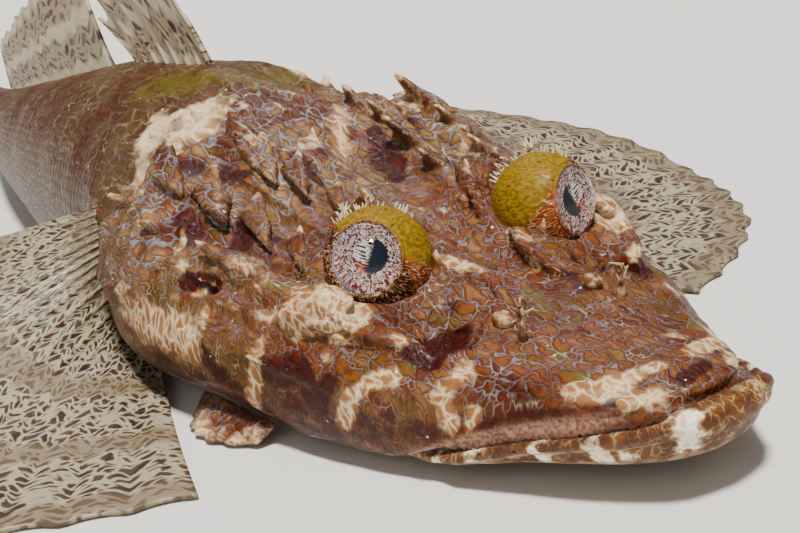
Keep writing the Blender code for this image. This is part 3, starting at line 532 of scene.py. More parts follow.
# Colour marks on the skin: half width, strength, 0 for both sides or 1 for this side only, then its path
creamMarks = (
    (5.0, 1.3, 0, (71, 35.4, 28), (66.4, 32.5, 29.4), (60, 31.8, 28.4)),
    (1.5, 0.85, 0, (62, 35, 24.6), (55, 31.4, 25.2), (48, 28, 25.2)),
    (3.0, 0.72, 0, (77.7, 41.4, 21.9), (78.6, 42.9, 16.6), (82.5, 42.9, 9.4)),
    (5.6, 0.95, 0, (120.8, 49.2, 22.4), (108.8, 48.4, 20.4), (98.5, 46.8, 20)),
    (3.6, 0.62, 0, (98.5, 46.8, 20), (94.8, 44, 26.3)),
    (2.6, 0.85, 0, (57, 37.7, 10.5), (54.3, 36.9, 16.1), (51.2, 35, 18.5), (47, 33, 20.5)),
    (3.0, 0.74, 0, (36, 24, 20.5), (37.3, 29.2, 16.8), (35.4, 29.1, 12.5)),
    (2.0, 0.66, 0, (31.4, 26.2, 15.4), (32.5, 27, 11.5)),
    (2.5, 1.0, 0, (17, 15.8, 18.4), (12.4, 13.6, 19.1), (10, 8.6, 20.5), (8.6, 4, 21.1)),
    (2.3, 1.05, 0, (7, 11.8, 18), (4.4, 8.8, 18.4)),
    (2.6, 0.5, 1, (14, -8.2, 21.2), (20, -5, 22.4)),
    (1.7, 1.05, 0, (63, 9.6, 32), (58.2, 8.2, 31.5), (51, 5, 28.6)),
    (3.0, 1.0, 0, (39, 10, 29), (39, 10, 33)),
    (7.0, 0.55, 0, (84, 51, 3), (100, 55, 3)),
    (2.8, 0.8, 0, (92, 37.6, 34.3), (96, 38, 33.6)),
    (6.6, 1.0, 1, (139.8, 19.8, 48.3), (142.7, 12.5, 51.9)),
    (4.0, 0.66, 1, (124.1, 14.5, 49.9), (118, 15.5, 48.4), (110.5, 16.3, 45.4)),
    (4.4, 0.7, 1, (124, -9.8, 49.6), (112.9, -2.5, 44.5)),
    (5.0, 0.66, 1, (134, -29, 48.4), (124, -31.5, 46.5)), (4.0, 0.5, 1, (103, -29, 41), (98, -27, 39.5)),
    (6.0, 0.55, 0, (146, 30, 44), (152, 20, 53)), (5.0, 0.5, 0, (128, 41, 37), (136, 36, 44)),
    (2.6, 0.55, 0, (44, 22.5, 25.2), (49, 27.6, 24.6)), (2.0, 0.5, 0, (66, 38, 24), (60, 36, 21)),
)
darkMarks = (
    (4.4, 1.0, 0, (74.6, 42, 17.3), (67.1, 39.8, 18.8), (62.4, 39.3, 13.8)),
    (3.4, 0.85, 0, (62.4, 39.3, 13.8), (59, 38.4, 17.5)), (4.4, 0.75, 0, (70.6, 40.2, 6.8), (60, 38.6, 6)),
    (3.2, 1.0, 0, (94, 46, 18.6), (90.2, 45.3, 14.5)), (5.4, 1.05, 0, (110.3, 47.7, 12), (104, 47, 8)),
    # the next two marks darken the deep pressed pits before the eye and behind it: painted shade
    (4.6, 1.5, 0, (44.6, 26.0, 23.4), (46.8, 22.0, 21.5), (43.0, 20.6, 23.2)),
    (2.6, 1.2, 0, (102, 43.4, 30.6), (94.3, 41.1, 30.5)),
    (3.2, 0.85, 1, (113, -12, 45.6), (104, -8.4, 42.2), (98, -6, 40)), (3.2, 0.8, 1, (112, 9, 46), (104, 9.5, 43)),
    (4.0, 0.85, 0, (99, 31, 38), (94, 34, 35)), (3.2, 0.7, 0, (86, 24, 36), (90, 27, 37)),
    (2.6, 0.8, 1, (38.8, -6.8, 25.6), (44, -8, 27)), (2.2, 0.9, 1, (3, 3.4, 20), (3.6, -2, 20.4)),
    (4.0, 0.5, 0, (27.7, 21.9, 18.6), (22, 18.8, 19.4)), (2.0, 0.75, 0, (66, 14.5, 30.8), (72, 13, 31.6)),
    (2.4, 0.8, 0, (55, 16, 27), (51, 14, 26)), (4.0, 0.8, 0, (130, 29, 47), (124, 27, 46)),
    (4.6, 0.75, 0, (112, 37, 40), (106, 38, 37)), (5.0, 0.8, 0, (118, 24, 46), (114, 22, 45)),
    (2.6, 0.7, 0, (57, 38.4, 8), (50, 36.5, 8)),
)
yellowMarks = (
    (6.5, 0.9, 1, (172, 13.2, 56.6), (157.8, 6.2, 57.2), (148.7, -2, 55.3), (152, -12, 54), (156.1, -19.4, 52)),
    (2.6, 0.9, 1, (46, 0.5, 26.5), (42.1, 2.6, 25.9), (37, 3, 25.3)),
    (2.0, 0.85, 0, (45.5, 29.6, 21.3), (43, 29, 21)),
    (1.8, 0.8, 0, (20, 15, 20.2), (16.6, 13, 20.6)), (2.2, 0.9, 0, (83, 35.8, 30.8), (79, 35, 30.8)),
    (3.0, 0.5, 0, (24, 13, 21.5), (29, 15, 21.8)), (3.2, 0.6, 1, (122, -6, 47.6), (118, -2, 46.4)),
    (2.4, 0.6, 0, (98, 3, 38.5), (102, 5, 40)),
)
lipBand = ((8.5, 12.8, 17.2), (17.3, 18.8, 16), (25, 23.0, 14.6), (31, 26.6, 12.6), (36, 29.8, 10.4))
jawBars = ((9.9, 1.7), (19.1, 1.5), (30.6, 1.7), (38.5, 1.2))  # s of each cream bar, half width

jawMarks = (
    (3.4, 1.1, 1, (-2.4, 9.0, 15.5), (-3.6, 9.0, 11.5)), (3.2, 1.0, 1, (-2.6, -11, 14), (-3.4, -10.6, 12)),
    (2.2, 0.8, 0, (6, 15, 9), (5, 14.6, 6)), (2.2, 0.6, 0, (25, 24, 8), (24, 23.6, 6)),
)


def spotField(place, marks):
    total = np.zeros(len(place))
    for half, strength, side, *path in marks:
        gap, _ = pathDistance(place if side else mirror(place), path)
        total = np.maximum(total, strength * bell(gap, half))
    return total


# How strongly each form takes its mark: pale on bone and tips, pale on crests (partly the fish's own pale crests,
# partly painted highlight), painted shade in the hollows under the folds, in the dips and on the cheek's
# down-facing foot, painted shade in the gill slit, a dark band along the lip and dark saddles on the trunk
markShare = {"bone": 0.6, "ridge": 0.34, "tip": 0.8, "hollow": 0.65, "lipBand": 0.72, "cheekFootShade": 0.60,
             "saddle": 0.62, "gill": 0.85, "paleCrestAndHighlight": 0.36, "darkDipShade": 0.6}
saddleStep = 46  # mm from one dark saddle on the trunk to the next


def colourSkin(skin, shape):
    # shares of each colour are kept on the skin's points, for its material to read
    co, normal = readPoints(skin), readPoints(skin, "normal")
    move, lipSide, gillSide = shape["move"], shape["lipSide"], shape["gillSide"]
    place = worldToFish(co)
    mirrored = mirror(place)
    s, up = place[:, 0], normal[:, 2]
    share = markShare
    bone, _ = pathDistance(mirrored, raisedLines[0][0])
    cream = np.maximum(spotField(place, creamMarks), share["bone"] * bell(bone, 1.8))
    # pale crest lines: partly the fish's own cream crests, partly painted highlight
    cream += share["ridge"] * shape["ridge"]
    for tip in peakTips:
        cream += share["tip"] * bell(gapTo(co, tip), 0.0026)
    # painted shade: the hollows below the folds on the head are darkened, on top of the dark marks
    dark = np.maximum(spotField(place, darkMarks), share["hollow"] * shape["under"])
    dark = np.maximum(dark, share["lipBand"] * bell(pathDistance(mirrored, lipBand)[0], 2.0))
    # painted shade: down-facing skin low on the head is darkened
    low = easeStep(0.55, 0.85, 1 - up) * (1 - easeStep(11, 24, place[:, 2])) * (1 - easeStep(120, 140, s))
    dark = np.maximum(dark, share["cheekFootShade"] * low)
    saddle = (0.5 + 0.5 * np.cos((s - 184) / saddleStep * 2 * math.pi)) ** 1.5 * easeStep(165, 185, s)
    saddle *= share["saddle"] * easeStep(-0.3, 0.4, up)
    writeColours(skin, "markTone", cream, np.maximum(dark, saddle), spotField(place, yellowMarks))
    # light and shade from the relief: crests turn pale, partly as the fish's own pale crests and partly as painted
    # highlight, and dips take painted shade; the third share is the front of the head
    writeColours(skin, "reliefLightShadeFront", share["paleCrestAndHighlight"] * easeStep(1.2, 2.8, move),
                 share["darkDipShade"] * (1 - easeStep(-1.6, -0.3, move)), 1 - easeStep(72, 112, s))
    # the lower jaw, the lip band over the mouth line, and the belly
    bars = spotField(place, jawMarks)
    for middle, half in jawBars:
        wave = s + 0.2 * (place[:, 2] - 10) - middle
        bars = np.maximum(bars, np.exp(-((wave / half) ** 4)) * easeStep(3, 6, place[:, 2]))
    isJaw = easeStep(-0.2, 0.3, lipSide) * (1 - easeStep(44, 60, s))
    writeColours(skin, "jawTone", isJaw, bars, easeStep(0.25, 0.85, -up))
    # painted shade: the mouth line and the gill slit are drawn near black
    near = 1 - easeStep(40, 46, s)
    gill = share["gill"] * bell(gillSide - 0.4, 0.6) * gillReach(place)
    crease = np.maximum(bell(lipSide, 0.5) * near, gill)
    lip = bell(lipSide + 1.0, 0.9) * near * easeStep(5, 12, s)
    writeColours(skin, "formTone", crease, lip, (1 - easeStep(0.30, 0.62, up)) * (1 - easeStep(125, 140, s)))
    girth = np.degrees(np.arctan2(place[:, 1], place[:, 2] - 22))
    writePlaces(skin, "scalePlace", s / 2.9, girth / 5.0, easeStep(128, 160, s))


# Shader nodes by short names: Blender's node, its choices, the sockets its values fill, the output in use
nodeKinds = {
    "mix": ("Mix", {"data_type": "RGBA"}, (0, 6, 7), 2),
    "between": ("Mix", {}, (0, 2, 3), 0),
    "ramp": ("MapRange", {"interpolation_type": "SMOOTHSTEP"}, (0, 1, 2, 3, 4), 0),
    "plus": ("Math", {"operation": "ADD"}, (0, 1), 0),
    "minus": ("Math", {"operation": "SUBTRACT"}, (0, 1), 0),
    "times": ("Math", {"operation": "MULTIPLY"}, (0, 1), 0),
    "larger": ("Math", {"operation": "MAXIMUM"}, (0, 1), 0),
    "unsigned": ("Math", {"operation": "ABSOLUTE"}, (0,), 0),
    "sine": ("Math", {"operation": "SINE"}, (0,), 0),
    "pingPong": ("Math", {"operation": "PINGPONG"}, (0, 1), 0),
    "shifted": ("VectorMath", {"operation": "ADD"}, (0, 1), 0),
    "shiftedBack": ("VectorMath", {"operation": "SUBTRACT"}, (0, 1), 0),
    "scaled": ("VectorMath", {"operation": "SCALE"}, (0, "Scale"), 0),
    "direction": ("VectorMath", {"operation": "NORMALIZE"}, (0,), 0),
    "length": ("VectorMath", {"operation": "LENGTH"}, (0,), "Value"),
    "mapped": ("Mapping", {}, ("Vector", "Scale", "Rotation"), 0),
    "xyz": ("SeparateXYZ", {}, (0,), None),
    "rgb": ("SeparateColor", {}, (0,), None),
    "vector": ("CombineXYZ", {}, (0, 1, 2), 0),
    "object": ("TexCoord", {}, (), "Object"),
    "uv": ("TexCoord", {}, (), "UV"),
    "storedColour": ("Attribute", {}, (), "Color"),
    "storedPlace": ("Attribute", {}, (), "Vector"),
    "noise": ("TexNoise", {}, ("Vector", "Scale", "Detail", "Roughness", "Distortion"), "Fac"),
    "cloud": ("TexNoise", {}, ("Vector", "Scale", "Detail"), "Color"),
    "cells": ("TexVoronoi", {"feature": "F1"}, ("Vector", "Scale", "Randomness"), "Distance"),
    "cellColour": ("TexVoronoi", {"feature": "F1"}, ("Vector", "Scale"), "Color"),
    "cellEdge": ("TexVoronoi", {"feature": "DISTANCE_TO_EDGE"}, ("Vector", "Scale"), "Distance"),
    "bump": ("Bump", {}, ("Height", "Strength", "Distance"), 0),
}


def toLinear(hexColour):
    value = [int(hexColour[i:i + 2], 16) / 255 for i in (1, 3, 5)]
    return tuple(v / 12.92 if v <= 0.04045 else ((v + 0.055) / 1.055) ** 2.4 for v in value) + (1.0,)


def fillSockets(node, tones, values):
    # a value is another node's output, the name of one of the piece's tones, or a number
    for socket, value in values.items():
        if isinstance(value, bpy.types.NodeSocket):
            node.id_data.links.new(value, node.inputs[socket])
        else:
            node.inputs[socket].default_value = toLinear(tones[value]) if isinstance(value, str) else value


def addNode(material, tones, kind, *values, **settings):
    name, choices, sockets, output = nodeKinds[kind]
    node = material.node_tree.nodes.new("ShaderNode" + name)
    for key, value in {**choices, **settings}.items():
        setattr(node, key, value)
    fillSockets(node, tones, dict(zip(sockets, values)))
    return node.outputs if output is None else node.outputs[output]


def newMaterial(name, tones):
    material = bpy.data.materials.new(name)
    material.use_nodes = True
    return material, partial(addNode, material, tones)


def finishMaterial(material, tones, values):
    fillSockets(material.node_tree.nodes["Principled BSDF"], tones, values)
    return material


def layered(add, colour, *layers):
    # each layer is a share and the tone that it lays over what is there
    for share, tone in layers:
        colour = add("mix", share, colour, tone)
    return colour


def warpedPlace(add, source, size, strength, stretch=(1, 1, 1), detail=1.0, unit=1000):
    # the pattern's place pushed about by noise of that size in mm, then stretched
    push = add("shiftedBack", add("cloud", source, unit / size, detail), (0.5, 0.5, 0.5))
    return add("mapped", add("shifted", source, add("scaled", push, strength / unit)), stretch)


def netPattern(add, place, size, thick):
    # pale lines between cells of that size in mm: line share, a random tone for each cell, the edge distance
    edge = add("cellEdge", place, 1000 / size)
    tone = add("rgb", add("cellColour", place, 1000 / size))[0]
    return add("ramp", edge, 0.0, thick, 1.0, 0.0), tone, edge


# Wet living skin over bone: a net of pale blue-grey lines on orange-brown cells, under a film of water
skinTones = {
    "rust": "#783f13", "tan": "#865f38", "rearTan": "#a37f58", "maroon": "#47190a", "cellEdge": "#4c230f",
    "olive": "#62540f", "lineBlue": "#86899a", "linePale": "#a7a396", "lineCream": "#a39572",
    "cream": "#cba67a", "creamCell": "#93633c", "creamPure": "#e2c9a0", "creamLine": "#e0d3b6",
    "jawCream": "#fbf1d8", "jawWarm": "#74451f", "jawBrown": "#4f2d1c", "jawLine": "#a3925e",
    "dark": "#4a1407", "night": "#300a04", "yellow": "#584c0b", "lipPink": "#be937c", "lipShade": "#8d5f4a",
    # the crease tone is painted shade for the mouth line and the gill slit
    "crease": "#240b06", "belly": "#a39079", "trunkTan": "#523c24", "trunkDark": "#472513",
    "trunkLine": "#857a58", "speck": "#f2ead2",
}
skinPattern = {  # sizes in mm; the grain is drawn coarser than a real fish's, which wouldn't show
    "warp": 11, "topNet": 2.05, "sideNet": 1.75, "rearNet": 2.4, "broad": 15, "tint": 13, "mottle": 5,
    "grain": 0.8, "speck": 3.2, "relief": 0.4,
}


def wetSkin():
    material, add = newMaterial("wetFlatheadSkin", skinTones)
    here = add("object")
    mark, jawed, formed, relief = (add("rgb", add("storedColour", attribute_name=name))
                                   for name in ("markTone", "jawTone", "formTone", "reliefLightShadeFront"))
    scaled = add("xyz", add("storedPlace", attribute_name="scalePlace"))
    size = skinPattern
    bent = warpedPlace(add, here, size["warp"], 5.0)
    # nets drawn out along the head on top, up and down on the cheeks, and longer still on rear and trunk
    top = netPattern(add, warpedPlace(add, bent, 2.4, 2.6, (0.45, 1, 1)), size["topNet"], 0.062)
    side = netPattern(add, warpedPlace(add, bent, 3.0, 2.8, (1, 1, 0.45)), size["sideNet"], 0.085)
    loose = netPattern(add, warpedPlace(add, bent, 3.4, 3.0, (0.30, 1, 1)), size["rearNet"], 0.10)
    upper = [add("between", relief[2], rear, front) for rear, front in zip(loose, top)]
    line, tone, edge = (add("between", formed[2], high, low) for high, low in zip(upper, side))
    broad = add("noise", bent, 1000 / size["broad"], 3.0)
    tint = add("noise", here, 1000 / size["tint"], 2.0)
    mottle = add("noise", here, 1000 / size["mottle"], 4.0, 0.62)
    grain = add("noise", here, 1000 / size["grain"], 2.0)
    ragged = add("times", add("minus", mottle, 0.5), 1.3)
    # cream carries the painted highlight on crests, and dark carries the painted shade in dips, hollows, pits and
    # the cheek's foot, along with the real marks
    cream = add("ramp", add("plus", add("plus", mark[0], ragged), relief[0]), 0.34, 0.72)
    dark = add("ramp", add("plus", add("plus", mark[1], ragged), relief[1]), 0.36, 0.74)
    yellow = add("ramp", add("plus", mark[2], add("times", ragged, 2.0)), 0.36, 0.80)
    # each cell is lighter in its middle, some rusty, some tan and some maroon
    tanShare = add("minus", add("ramp", tone, 0.2, 0.8), add("times", relief[2], 0.45))
    rear = add("times", add("minus", 1.0, relief[2]), add("ramp", mottle, 0.36, 0.60))
    cells = layered(add, add("mix", add("ramp", tanShare, 0.0, 0.75), "rust", "tan"),
                    (add("ramp", tone, 0.14, 0.20, 0.75, 0.0), "maroon"),
                    (add("times", rear, 0.8), "rearTan"),
                    (add("ramp", broad, 0.50, 0.64, 0.0, 0.85), "maroon"),
                    (add("ramp", tint, 0.52, 0.66, 0.0, 0.55), "olive"),
                    (add("times", add("ramp", grain, 0.45, 0.75), 0.35), "cellEdge"),
                    (add("ramp", edge, 0.06, 0.32, 0.8, 0.0), "cellEdge"))
    pale = layered(add, add("mix", add("ramp", edge, 0.07, 0.24), "cream", "creamCell"),
                   (add("times", add("ramp", mark[0], 0.85, 1.15), 0.6), "creamPure"))
    cells = layered(add, cells, (dark, add("mix", add("ramp", edge, 0.05, 0.40), "night", "dark")), (cream, pale),
                    (add("times", yellow, add("ramp", edge, 0.04, 0.3, 0.9, 0.6)), "yellow"))
    lines = layered(add, add("mix", formed[2], "lineBlue", "lineCream"),
                    (add("ramp", mottle, 0.5, 0.7), "linePale"), (cream, "creamLine"))
    strength = add("times", line, add("ramp", mottle, 0.35, 0.62, 0.18, 0.80))
    strength = add("times", strength, add("ramp", relief[2], 0.0, 1.0, 1.0, 0.72))
    strength = add("times", strength, add("ramp", dark, 0.0, 1.0, 1.0, 0.09))
    strength = add("larger", strength, add("times", add("times", line, cream), 0.8))
    # the trunk: mottled brown under a looser net
    mottling = add("ramp", add("plus", broad, add("times", ragged, 0.2)), 0.42, 0.58)
    trunk = layered(add, add("mix", mottling, "trunkTan", "trunkDark"),
                    (add("times", loose[0], add("ramp", mottle, 0.35, 0.65, 0.05, 0.7)), "trunkLine"),
                    (add("ramp", add("plus", mark[1], ragged), 0.3, 0.8), "maroon"),
                    (add("times", yellow, 0.8), "yellow"), (add("times", cream, 0.85), "creamPure"))
    # lower jaw with its cream bars, then the lip, the belly, pale specks and the painted shade in the mouth line
    # and gill slit
    bars = add("ramp", add("plus", jawed[1], add("times", ragged, 2.6)), 0.36, 0.92)
    patch = layered(add, add("mix", add("ramp", side[2], 0.08, 0.30), "jawCream", "creamPure"),
                    (add("ramp", bars, 0.55, 1.0, 0.75, 0.0), "cream"))
    jaw = layered(add, add("mix", add("ramp", mottle, 0.40, 0.62), "jawBrown", "jawWarm"),
                  (add("times", side[0], add("ramp", mottle, 0.42, 0.60, 0.12, 0.85)), "jawLine"), (bars, patch))
    speck = add("ramp", add("cells", bent, 1000 / size["speck"]), 0.06, 0.10, 1.0, 0.0)
    colour = layered(add, cells, (strength, lines), (scaled[2], trunk), (jawed[0], jaw),
                     (add("times", formed[1], 0.85),
                      add("mix", add("ramp", grain, 0.40, 0.62), "lipPink", "lipShade")),
                     (add("ramp", add("plus", jawed[2], ragged), 0.75, 1.1), "belly"),
                     (add("times", speck, add("ramp", mottle, 0.52, 0.6)), "speck"), (formed[0], "crease"))
    # cells stand a little proud of the lines between them, small scales lie on the trunk, all with a fine grain
    plate = add("ramp", add("cells", add("vector", scaled[0], scaled[1]), 1.0, 0.35), 0.25, 0.62, 1.0, 0.0)
    smoother = add("minus", 1.0, add("larger", scaled[2], formed[2]))
    height = add("plus", add("times", add("ramp", upper[2], 0.0, 0.3), smoother), add("times", plate, scaled[2]))
    height = add("plus", height, add("times", grain, 0.45))
    return finishMaterial(material, skinTones, {
        "Base Color": colour, "Normal": add("bump", height, 0.55, size["relief"] / 1000), "IOR": 1.40,
        "Roughness": add("ramp", grain, 0.3, 0.7, 0.36, 0.56), "Specular IOR Level": 0.25,
        "Coat Weight": 0.07, "Coat Roughness": 0.18,
        "Subsurface Weight": 0.05, "Subsurface Radius": (0.0015, 0.0006, 0.0003)})


def buildSkin():
    skin = buildSkinBase()
    thinBody(skin)
    colourSkin(skin, sculptSkin(skin))
    dress(skin, fleshSkin, "skin", "head", "torso", "tail_stalk", "lower_jaw")
    print("skin done")
    return skin


def buildGillFlap(name):
    # the scalloped flap of skin under the gill cover
    flap = copyNode("gill_flap_" + name, "gillFlap_" + name)
    applyModifier(flap, "SUBSURF", levels=3, render_levels=3)
    co, normal = readPoints(flap), readPoints(flap, "normal")
    ripple = noiseField(worldToFish(co), 3.0, 5.0)
    writePoints(flap, co + normal * ripple[:, None] * 0.00025)
    none = ripple * 0
    # the ripple stands in for the relief, so its dips take painted shade; the even crest share makes the flap paler
    # overall
    colourSkin(flap, {"move": ripple, "lipSide": none - 9, "gillSide": none - 9, "ridge": none + 0.6,
                      "under": none})
    dress(flap, fleshSkin, "skin", "gill_flap_" + name)


# Fins: each is one thin sheet whose rays stand up on both faces, with its rays split towards the edge
pectoral = {
    "rays": 17, "across": 192, "along": 64, "sink": 1.5,
    "root": {"u": (0, 0.25, 0.5, 0.75, 1), "s": (153, 154.2, 155.5, 156.8, 158),
             "y": (31.6, 37.8, 39.5, 38.4, 35.9), "z": (3.6, 10.4, 23, 29.4, 36),
             "length": (88, 89.5, 89, 85.5, 80), "edge": (0.9, 0.9, 2.7, 12.5, 25)},
    "turn": (-66, 44), "curl": (-6, 8), "droop": 1.7, "web": 0.985, "ray": 0.8, "sheet": 0.3, "split": 0.35,
}
pelvic = {
    "rays": 6, "across": 84, "along": 48, "sink": 1.0,
    "root": {"u": (0, 0.5, 1), "s": (146, 153, 160), "y": (22.7, 25.4, 27.5), "z": (0.9, 1.1, 2.1),
             "length": (52, 62, 52), "edge": (1, 1, 1)},
    "turn": (38, 78), "curl": (10, 2), "droop": 2.2, "web": 0.93, "ray": 0.75, "sheet": 0.3, "split": 0.5,
}
backTop = ((150, 57.5), (161, 58.7), (180, 59.4), (200, 58.6), (222, 55.8), (240, 52.6), (260, 49.2),
           (280, 45.8), (300, 42.4), (323, 38.8), (345, 36.2))
bellyLow = ((222, 0.5), (240, 2.8), (260, 5.5), (280, 8), (300, 10), (323, 11.7), (345, 12.8))
firstDorsal = {
    "s": (161, 166, 172, 178, 184, 190, 196, 202), "height": (14, 40, 50, 52, 47, 40, 31, 20),
    "rake": (30, 28, 32, 36, 41, 46, 52, 58), "lean": 2.0, "web": 0.74, "across": 112, "along": 44,
    "ray": 0.85, "sheet": 0.28, "split": 0.0, "sink": 2.0, "up": 1,
}
secondDorsal = {
    "s": tuple(222 + 9.2 * k for k in range(12)), "height": tuple(37 - 1.5 * k for k in range(12)),
    "rake": tuple(32 + 1.8 * k for k in range(12)), "lean": -2.5, "web": 0.95, "across": 154, "along": 40,
    "ray": 0.6, "sheet": 0.26, "split": 0.3, "sink": 2.0, "up": 1,
}
anal = {
    "s": tuple(238 + 8.6 * k for k in range(11)), "height": tuple(3.2 + 0.55 * k for k in range(11)),
    "rake": (58,) * 11, "lean": 1.0, "web": 0.92, "across": 120, "along": 14,
    "ray": 0.55, "sheet": 0.26, "split": 0.0, "sink": 1.6, "up": -1,
}
caudal = {
    "rays": 12, "across": 132, "along": 56, "ray": 0.75, "sheet": 0.3, "split": 0.45, "sink": 3.0, "web": 0.965,
    "start": 390.35, "middle": 22, "half": 8.2, "length": 68, "rise": 2, "fan": 12.5,  # turns in degrees
}


def buildFin(name, fin, rays, place, material, node):
    # a thin grid over the fin's outline; its rays stand up on both faces and part in two towards the edge
    sheet = addMesh(bpy.ops.mesh.primitive_grid_add, x_subdivisions=fin["across"],
                    y_subdivisions=fin["along"], size=2)
    sheet.name = name
    co = readPoints(sheet)
    u, t = (co[:, 0] + 1) / 2, (co[:, 1] + 1) / 2
    gap = np.abs(u * (rays - 1) - np.round(u * (rays - 1)))
    part = 0.2 * easeStep(fin["split"], 1.0, t) if fin["split"] else 0
    thick = fin["sheet"] + (fin["ray"] - fin["sheet"]) * bell(gap - part, 0.13) * (1 - 0.6 * t) + 0.6 * (1 - t) ** 6
    web = fin["web"] + (1 - fin["web"]) * bell(gap, 0.2)  # the edge falls back between the rays
    writePoints(sheet, fishToWorld(*place(u, t, thick, web)))
    group = sheet.vertex_groups.new(name="thick")
    levels = np.round(thick / thick.max() * 60)
    for level in np.unique(levels):
        group.add(np.nonzero(levels == level)[0].tolist(), float(level) / 60, "REPLACE")
    applyModifier(sheet, "SOLIDIFY", thickness=2 * float(thick.max()) / 1000, offset=0, vertex_group="thick")
    sheet.vertex_groups.clear()
    editMesh(sheet, bpy.ops.mesh.normals_make_consistent, inside=False)
    dress(sheet, material, "fin_skin", node)


def pairedFin(name, fin, side, material, node):
    root = fin["root"]

    def place(u, t, thick, web):
        at = {key: np.interp(u, root["u"], root[key]) for key in ("s", "y", "z", "length", "edge")}
        reach = at["length"] * web
        far = t * (1 + fin["sink"] / reach) - fin["sink"] / reach
        turn, curl = (fin[key][0] + (fin[key][1] - fin[key][0]) * u for key in ("turn", "curl"))
        heading = np.radians(turn + curl * far / 2)
        z = at["z"] + (at["edge"] - at["z"]) * (1 - (1 - np.clip(far, 0, 1)) ** fin["droop"])
        # a slow swell across the rays, and small folds between them
        z = z + 1.3 * np.sin(u * 9 + 2) * t * t * np.clip((z - 1.2) / 4, 0, 1)
        return (at["s"] + np.sin(heading) * reach * far, side * (at["y"] + np.cos(heading) * reach * far),
                np.maximum(z, thick + 0.05))

    buildFin(name, fin, fin["rays"], place, material, node)


def medianFin(name, fin, outline, material, node):
    steps = range(len(fin["s"]))

    def place(u, t, _, web):
        k = u * (len(steps) - 1)
        s, height, rake = (np.interp(k, steps, fin[key]) for key in ("s", "height", "rake"))
        rake, run = np.radians(rake), t * web
        foot = np.interp(s, *zip(*outline)) - fin["up"] * fin["sink"]
        y = fin["lean"] * run**2 * height / 30 + 0.5 * np.sin(k * 2.1) * run**2
        return (s + np.sin(rake) * height * (run + 0.12 * run**2), y,
                foot + fin["up"] * (np.cos(rake) * height + fin["sink"]) * run)

    buildFin(name, fin, len(steps), place, material, node)


def tailFin(name, fin, material, node):
    def place(u, t, _, web):
        spread = u * 2 - 1
        length = fin["length"] * (1 - 0.1 * spread**4) * web
        far = t * (1 + fin["sink"] / length) - fin["sink"] / length
        lean = np.radians(fin["rise"] + fin["fan"] * spread)
        return (fin["start"] + np.cos(lean) * length * far, 3 * np.sin(2.6 * far + 2.2 * spread) * far,
                fin["middle"] + fin["half"] * spread + np.sin(lean) * length * far * (1.05 - 0.12 * far))

    buildFin(name, fin, fin["rays"], place, material, node)


# Thin wet fin skin: a cream net over brown cells that run in rows down the rays
finLooks = {  # cells across and along the fin, band: how close the pale bands stand
    "pectoral": {"cells": (40, 38), "cell": "#493325", "deep": "#2f1f15", "line": "#9f957c",
                 "band": 0.55, "bandTone": "#68573f", "rays": 17, "wide": 0.20, "zigzag": 1.1},
    "pelvic": {"cells": (14, 20), "cell": "#5e3722", "deep": "#3c2016", "line": "#94835f",
               "band": 1.3, "bandTone": "#9c8a66", "rays": 6, "wide": 0.26, "zigzag": 0.9},
    "dorsal": {"cells": (14, 12), "cell": "#4e2a1c", "deep": "#34170f", "line": "#948262",
               "band": 1.2, "bandTone": "#d2c4a6", "rays": 10, "wide": 0.26, "zigzag": 0.9},
    "tail": {"cells": (14, 16), "cell": "#44261a", "deep": "#2c160f", "line": "#8c7b5a",
             "band": 1.5, "bandTone": "#b3a37f", "rays": 12, "wide": 0.26, "zigzag": 0.9},
}


def finSkin(kind):
    look = finLooks[kind]
    material, add = newMaterial(kind + "Skin", look)
    across, along, _ = add("xyz", add("uv"))
    fromRay = add("pingPong", add("times", across, float(look["rays"] - 1)), 0.5)
    steps = add("plus", add("times", along, look["cells"][1]), add("times", fromRay, 2 * look["zigzag"]))
    flat = add("vector", add("times", across, look["cells"][0]), steps)
    moved = warpedPlace(add, flat, 1 / 0.45, 2.2, detail=2.0, unit=1)
    edge = add("cellEdge", moved, 1.0)
    wave = add("sine", add("times", add("xyz", moved)[1], look["band"]))
    colour = layered(add, add("mix", add("ramp", add("noise", flat, 0.9, 3.0), 0.4, 0.6), "cell", "deep"),
                     (add("ramp", edge, 0.3 * look["wide"], look["wide"], 1.0, 0.0), "line"),
                     (add("times", add("ramp", wave, 0.3, 0.9), 0.6), "bandTone"))
    return finishMaterial(material, look, {
        "Base Color": colour, "Normal": add("bump", edge, 0.4, 0.0003), "Roughness": 0.48, "IOR": 1.40,
        "Coat Weight": 0.12, "Coat Roughness": 0.25,
        "Subsurface Weight": 0.08, "Subsurface Radius": (0.001, 0.0007, 0.0004)})


# Eyes: a skin-covered ball, a bowl-shaped iris behind a clear dome, and small spikes along its top
eyeForm = {"iris": 6.35, "irisDepth": 6.85, "irisRise": 0.56, "irisEnd": 0.34, "lipEnd": 0.50,
           "lipAngle": 44, "lipCentre": 10.05, "lip": 0.44, "ballStart": 47.5,
           "domeRadius": 8.2, "domeEdge": 6.6, "domeFoot": 7.5}
spikeRow = {  # the row of spikes runs over the ball through these directions: ahead, out, up
    "right": ((-0.50, 0.48, 0.72), (-0.44, 0.20, 0.87), (-0.29, -0.10, 0.95), (0.0, -0.50, 0.86),
              (0.35, -0.62, 0.70)),
    "left": ((-0.60, -0.62, 0.50), (-0.52, -0.40, 0.76), (-0.36, -0.05, 0.93), (0.05, 0.20, 0.98),
             (0.30, 0.50, 0.80)),
    "count": 34, "tufts": {"right": (5, 7, 17, 26), "left": (8, 14, 20, 29)}, "bigTufts": (7, 20),
}


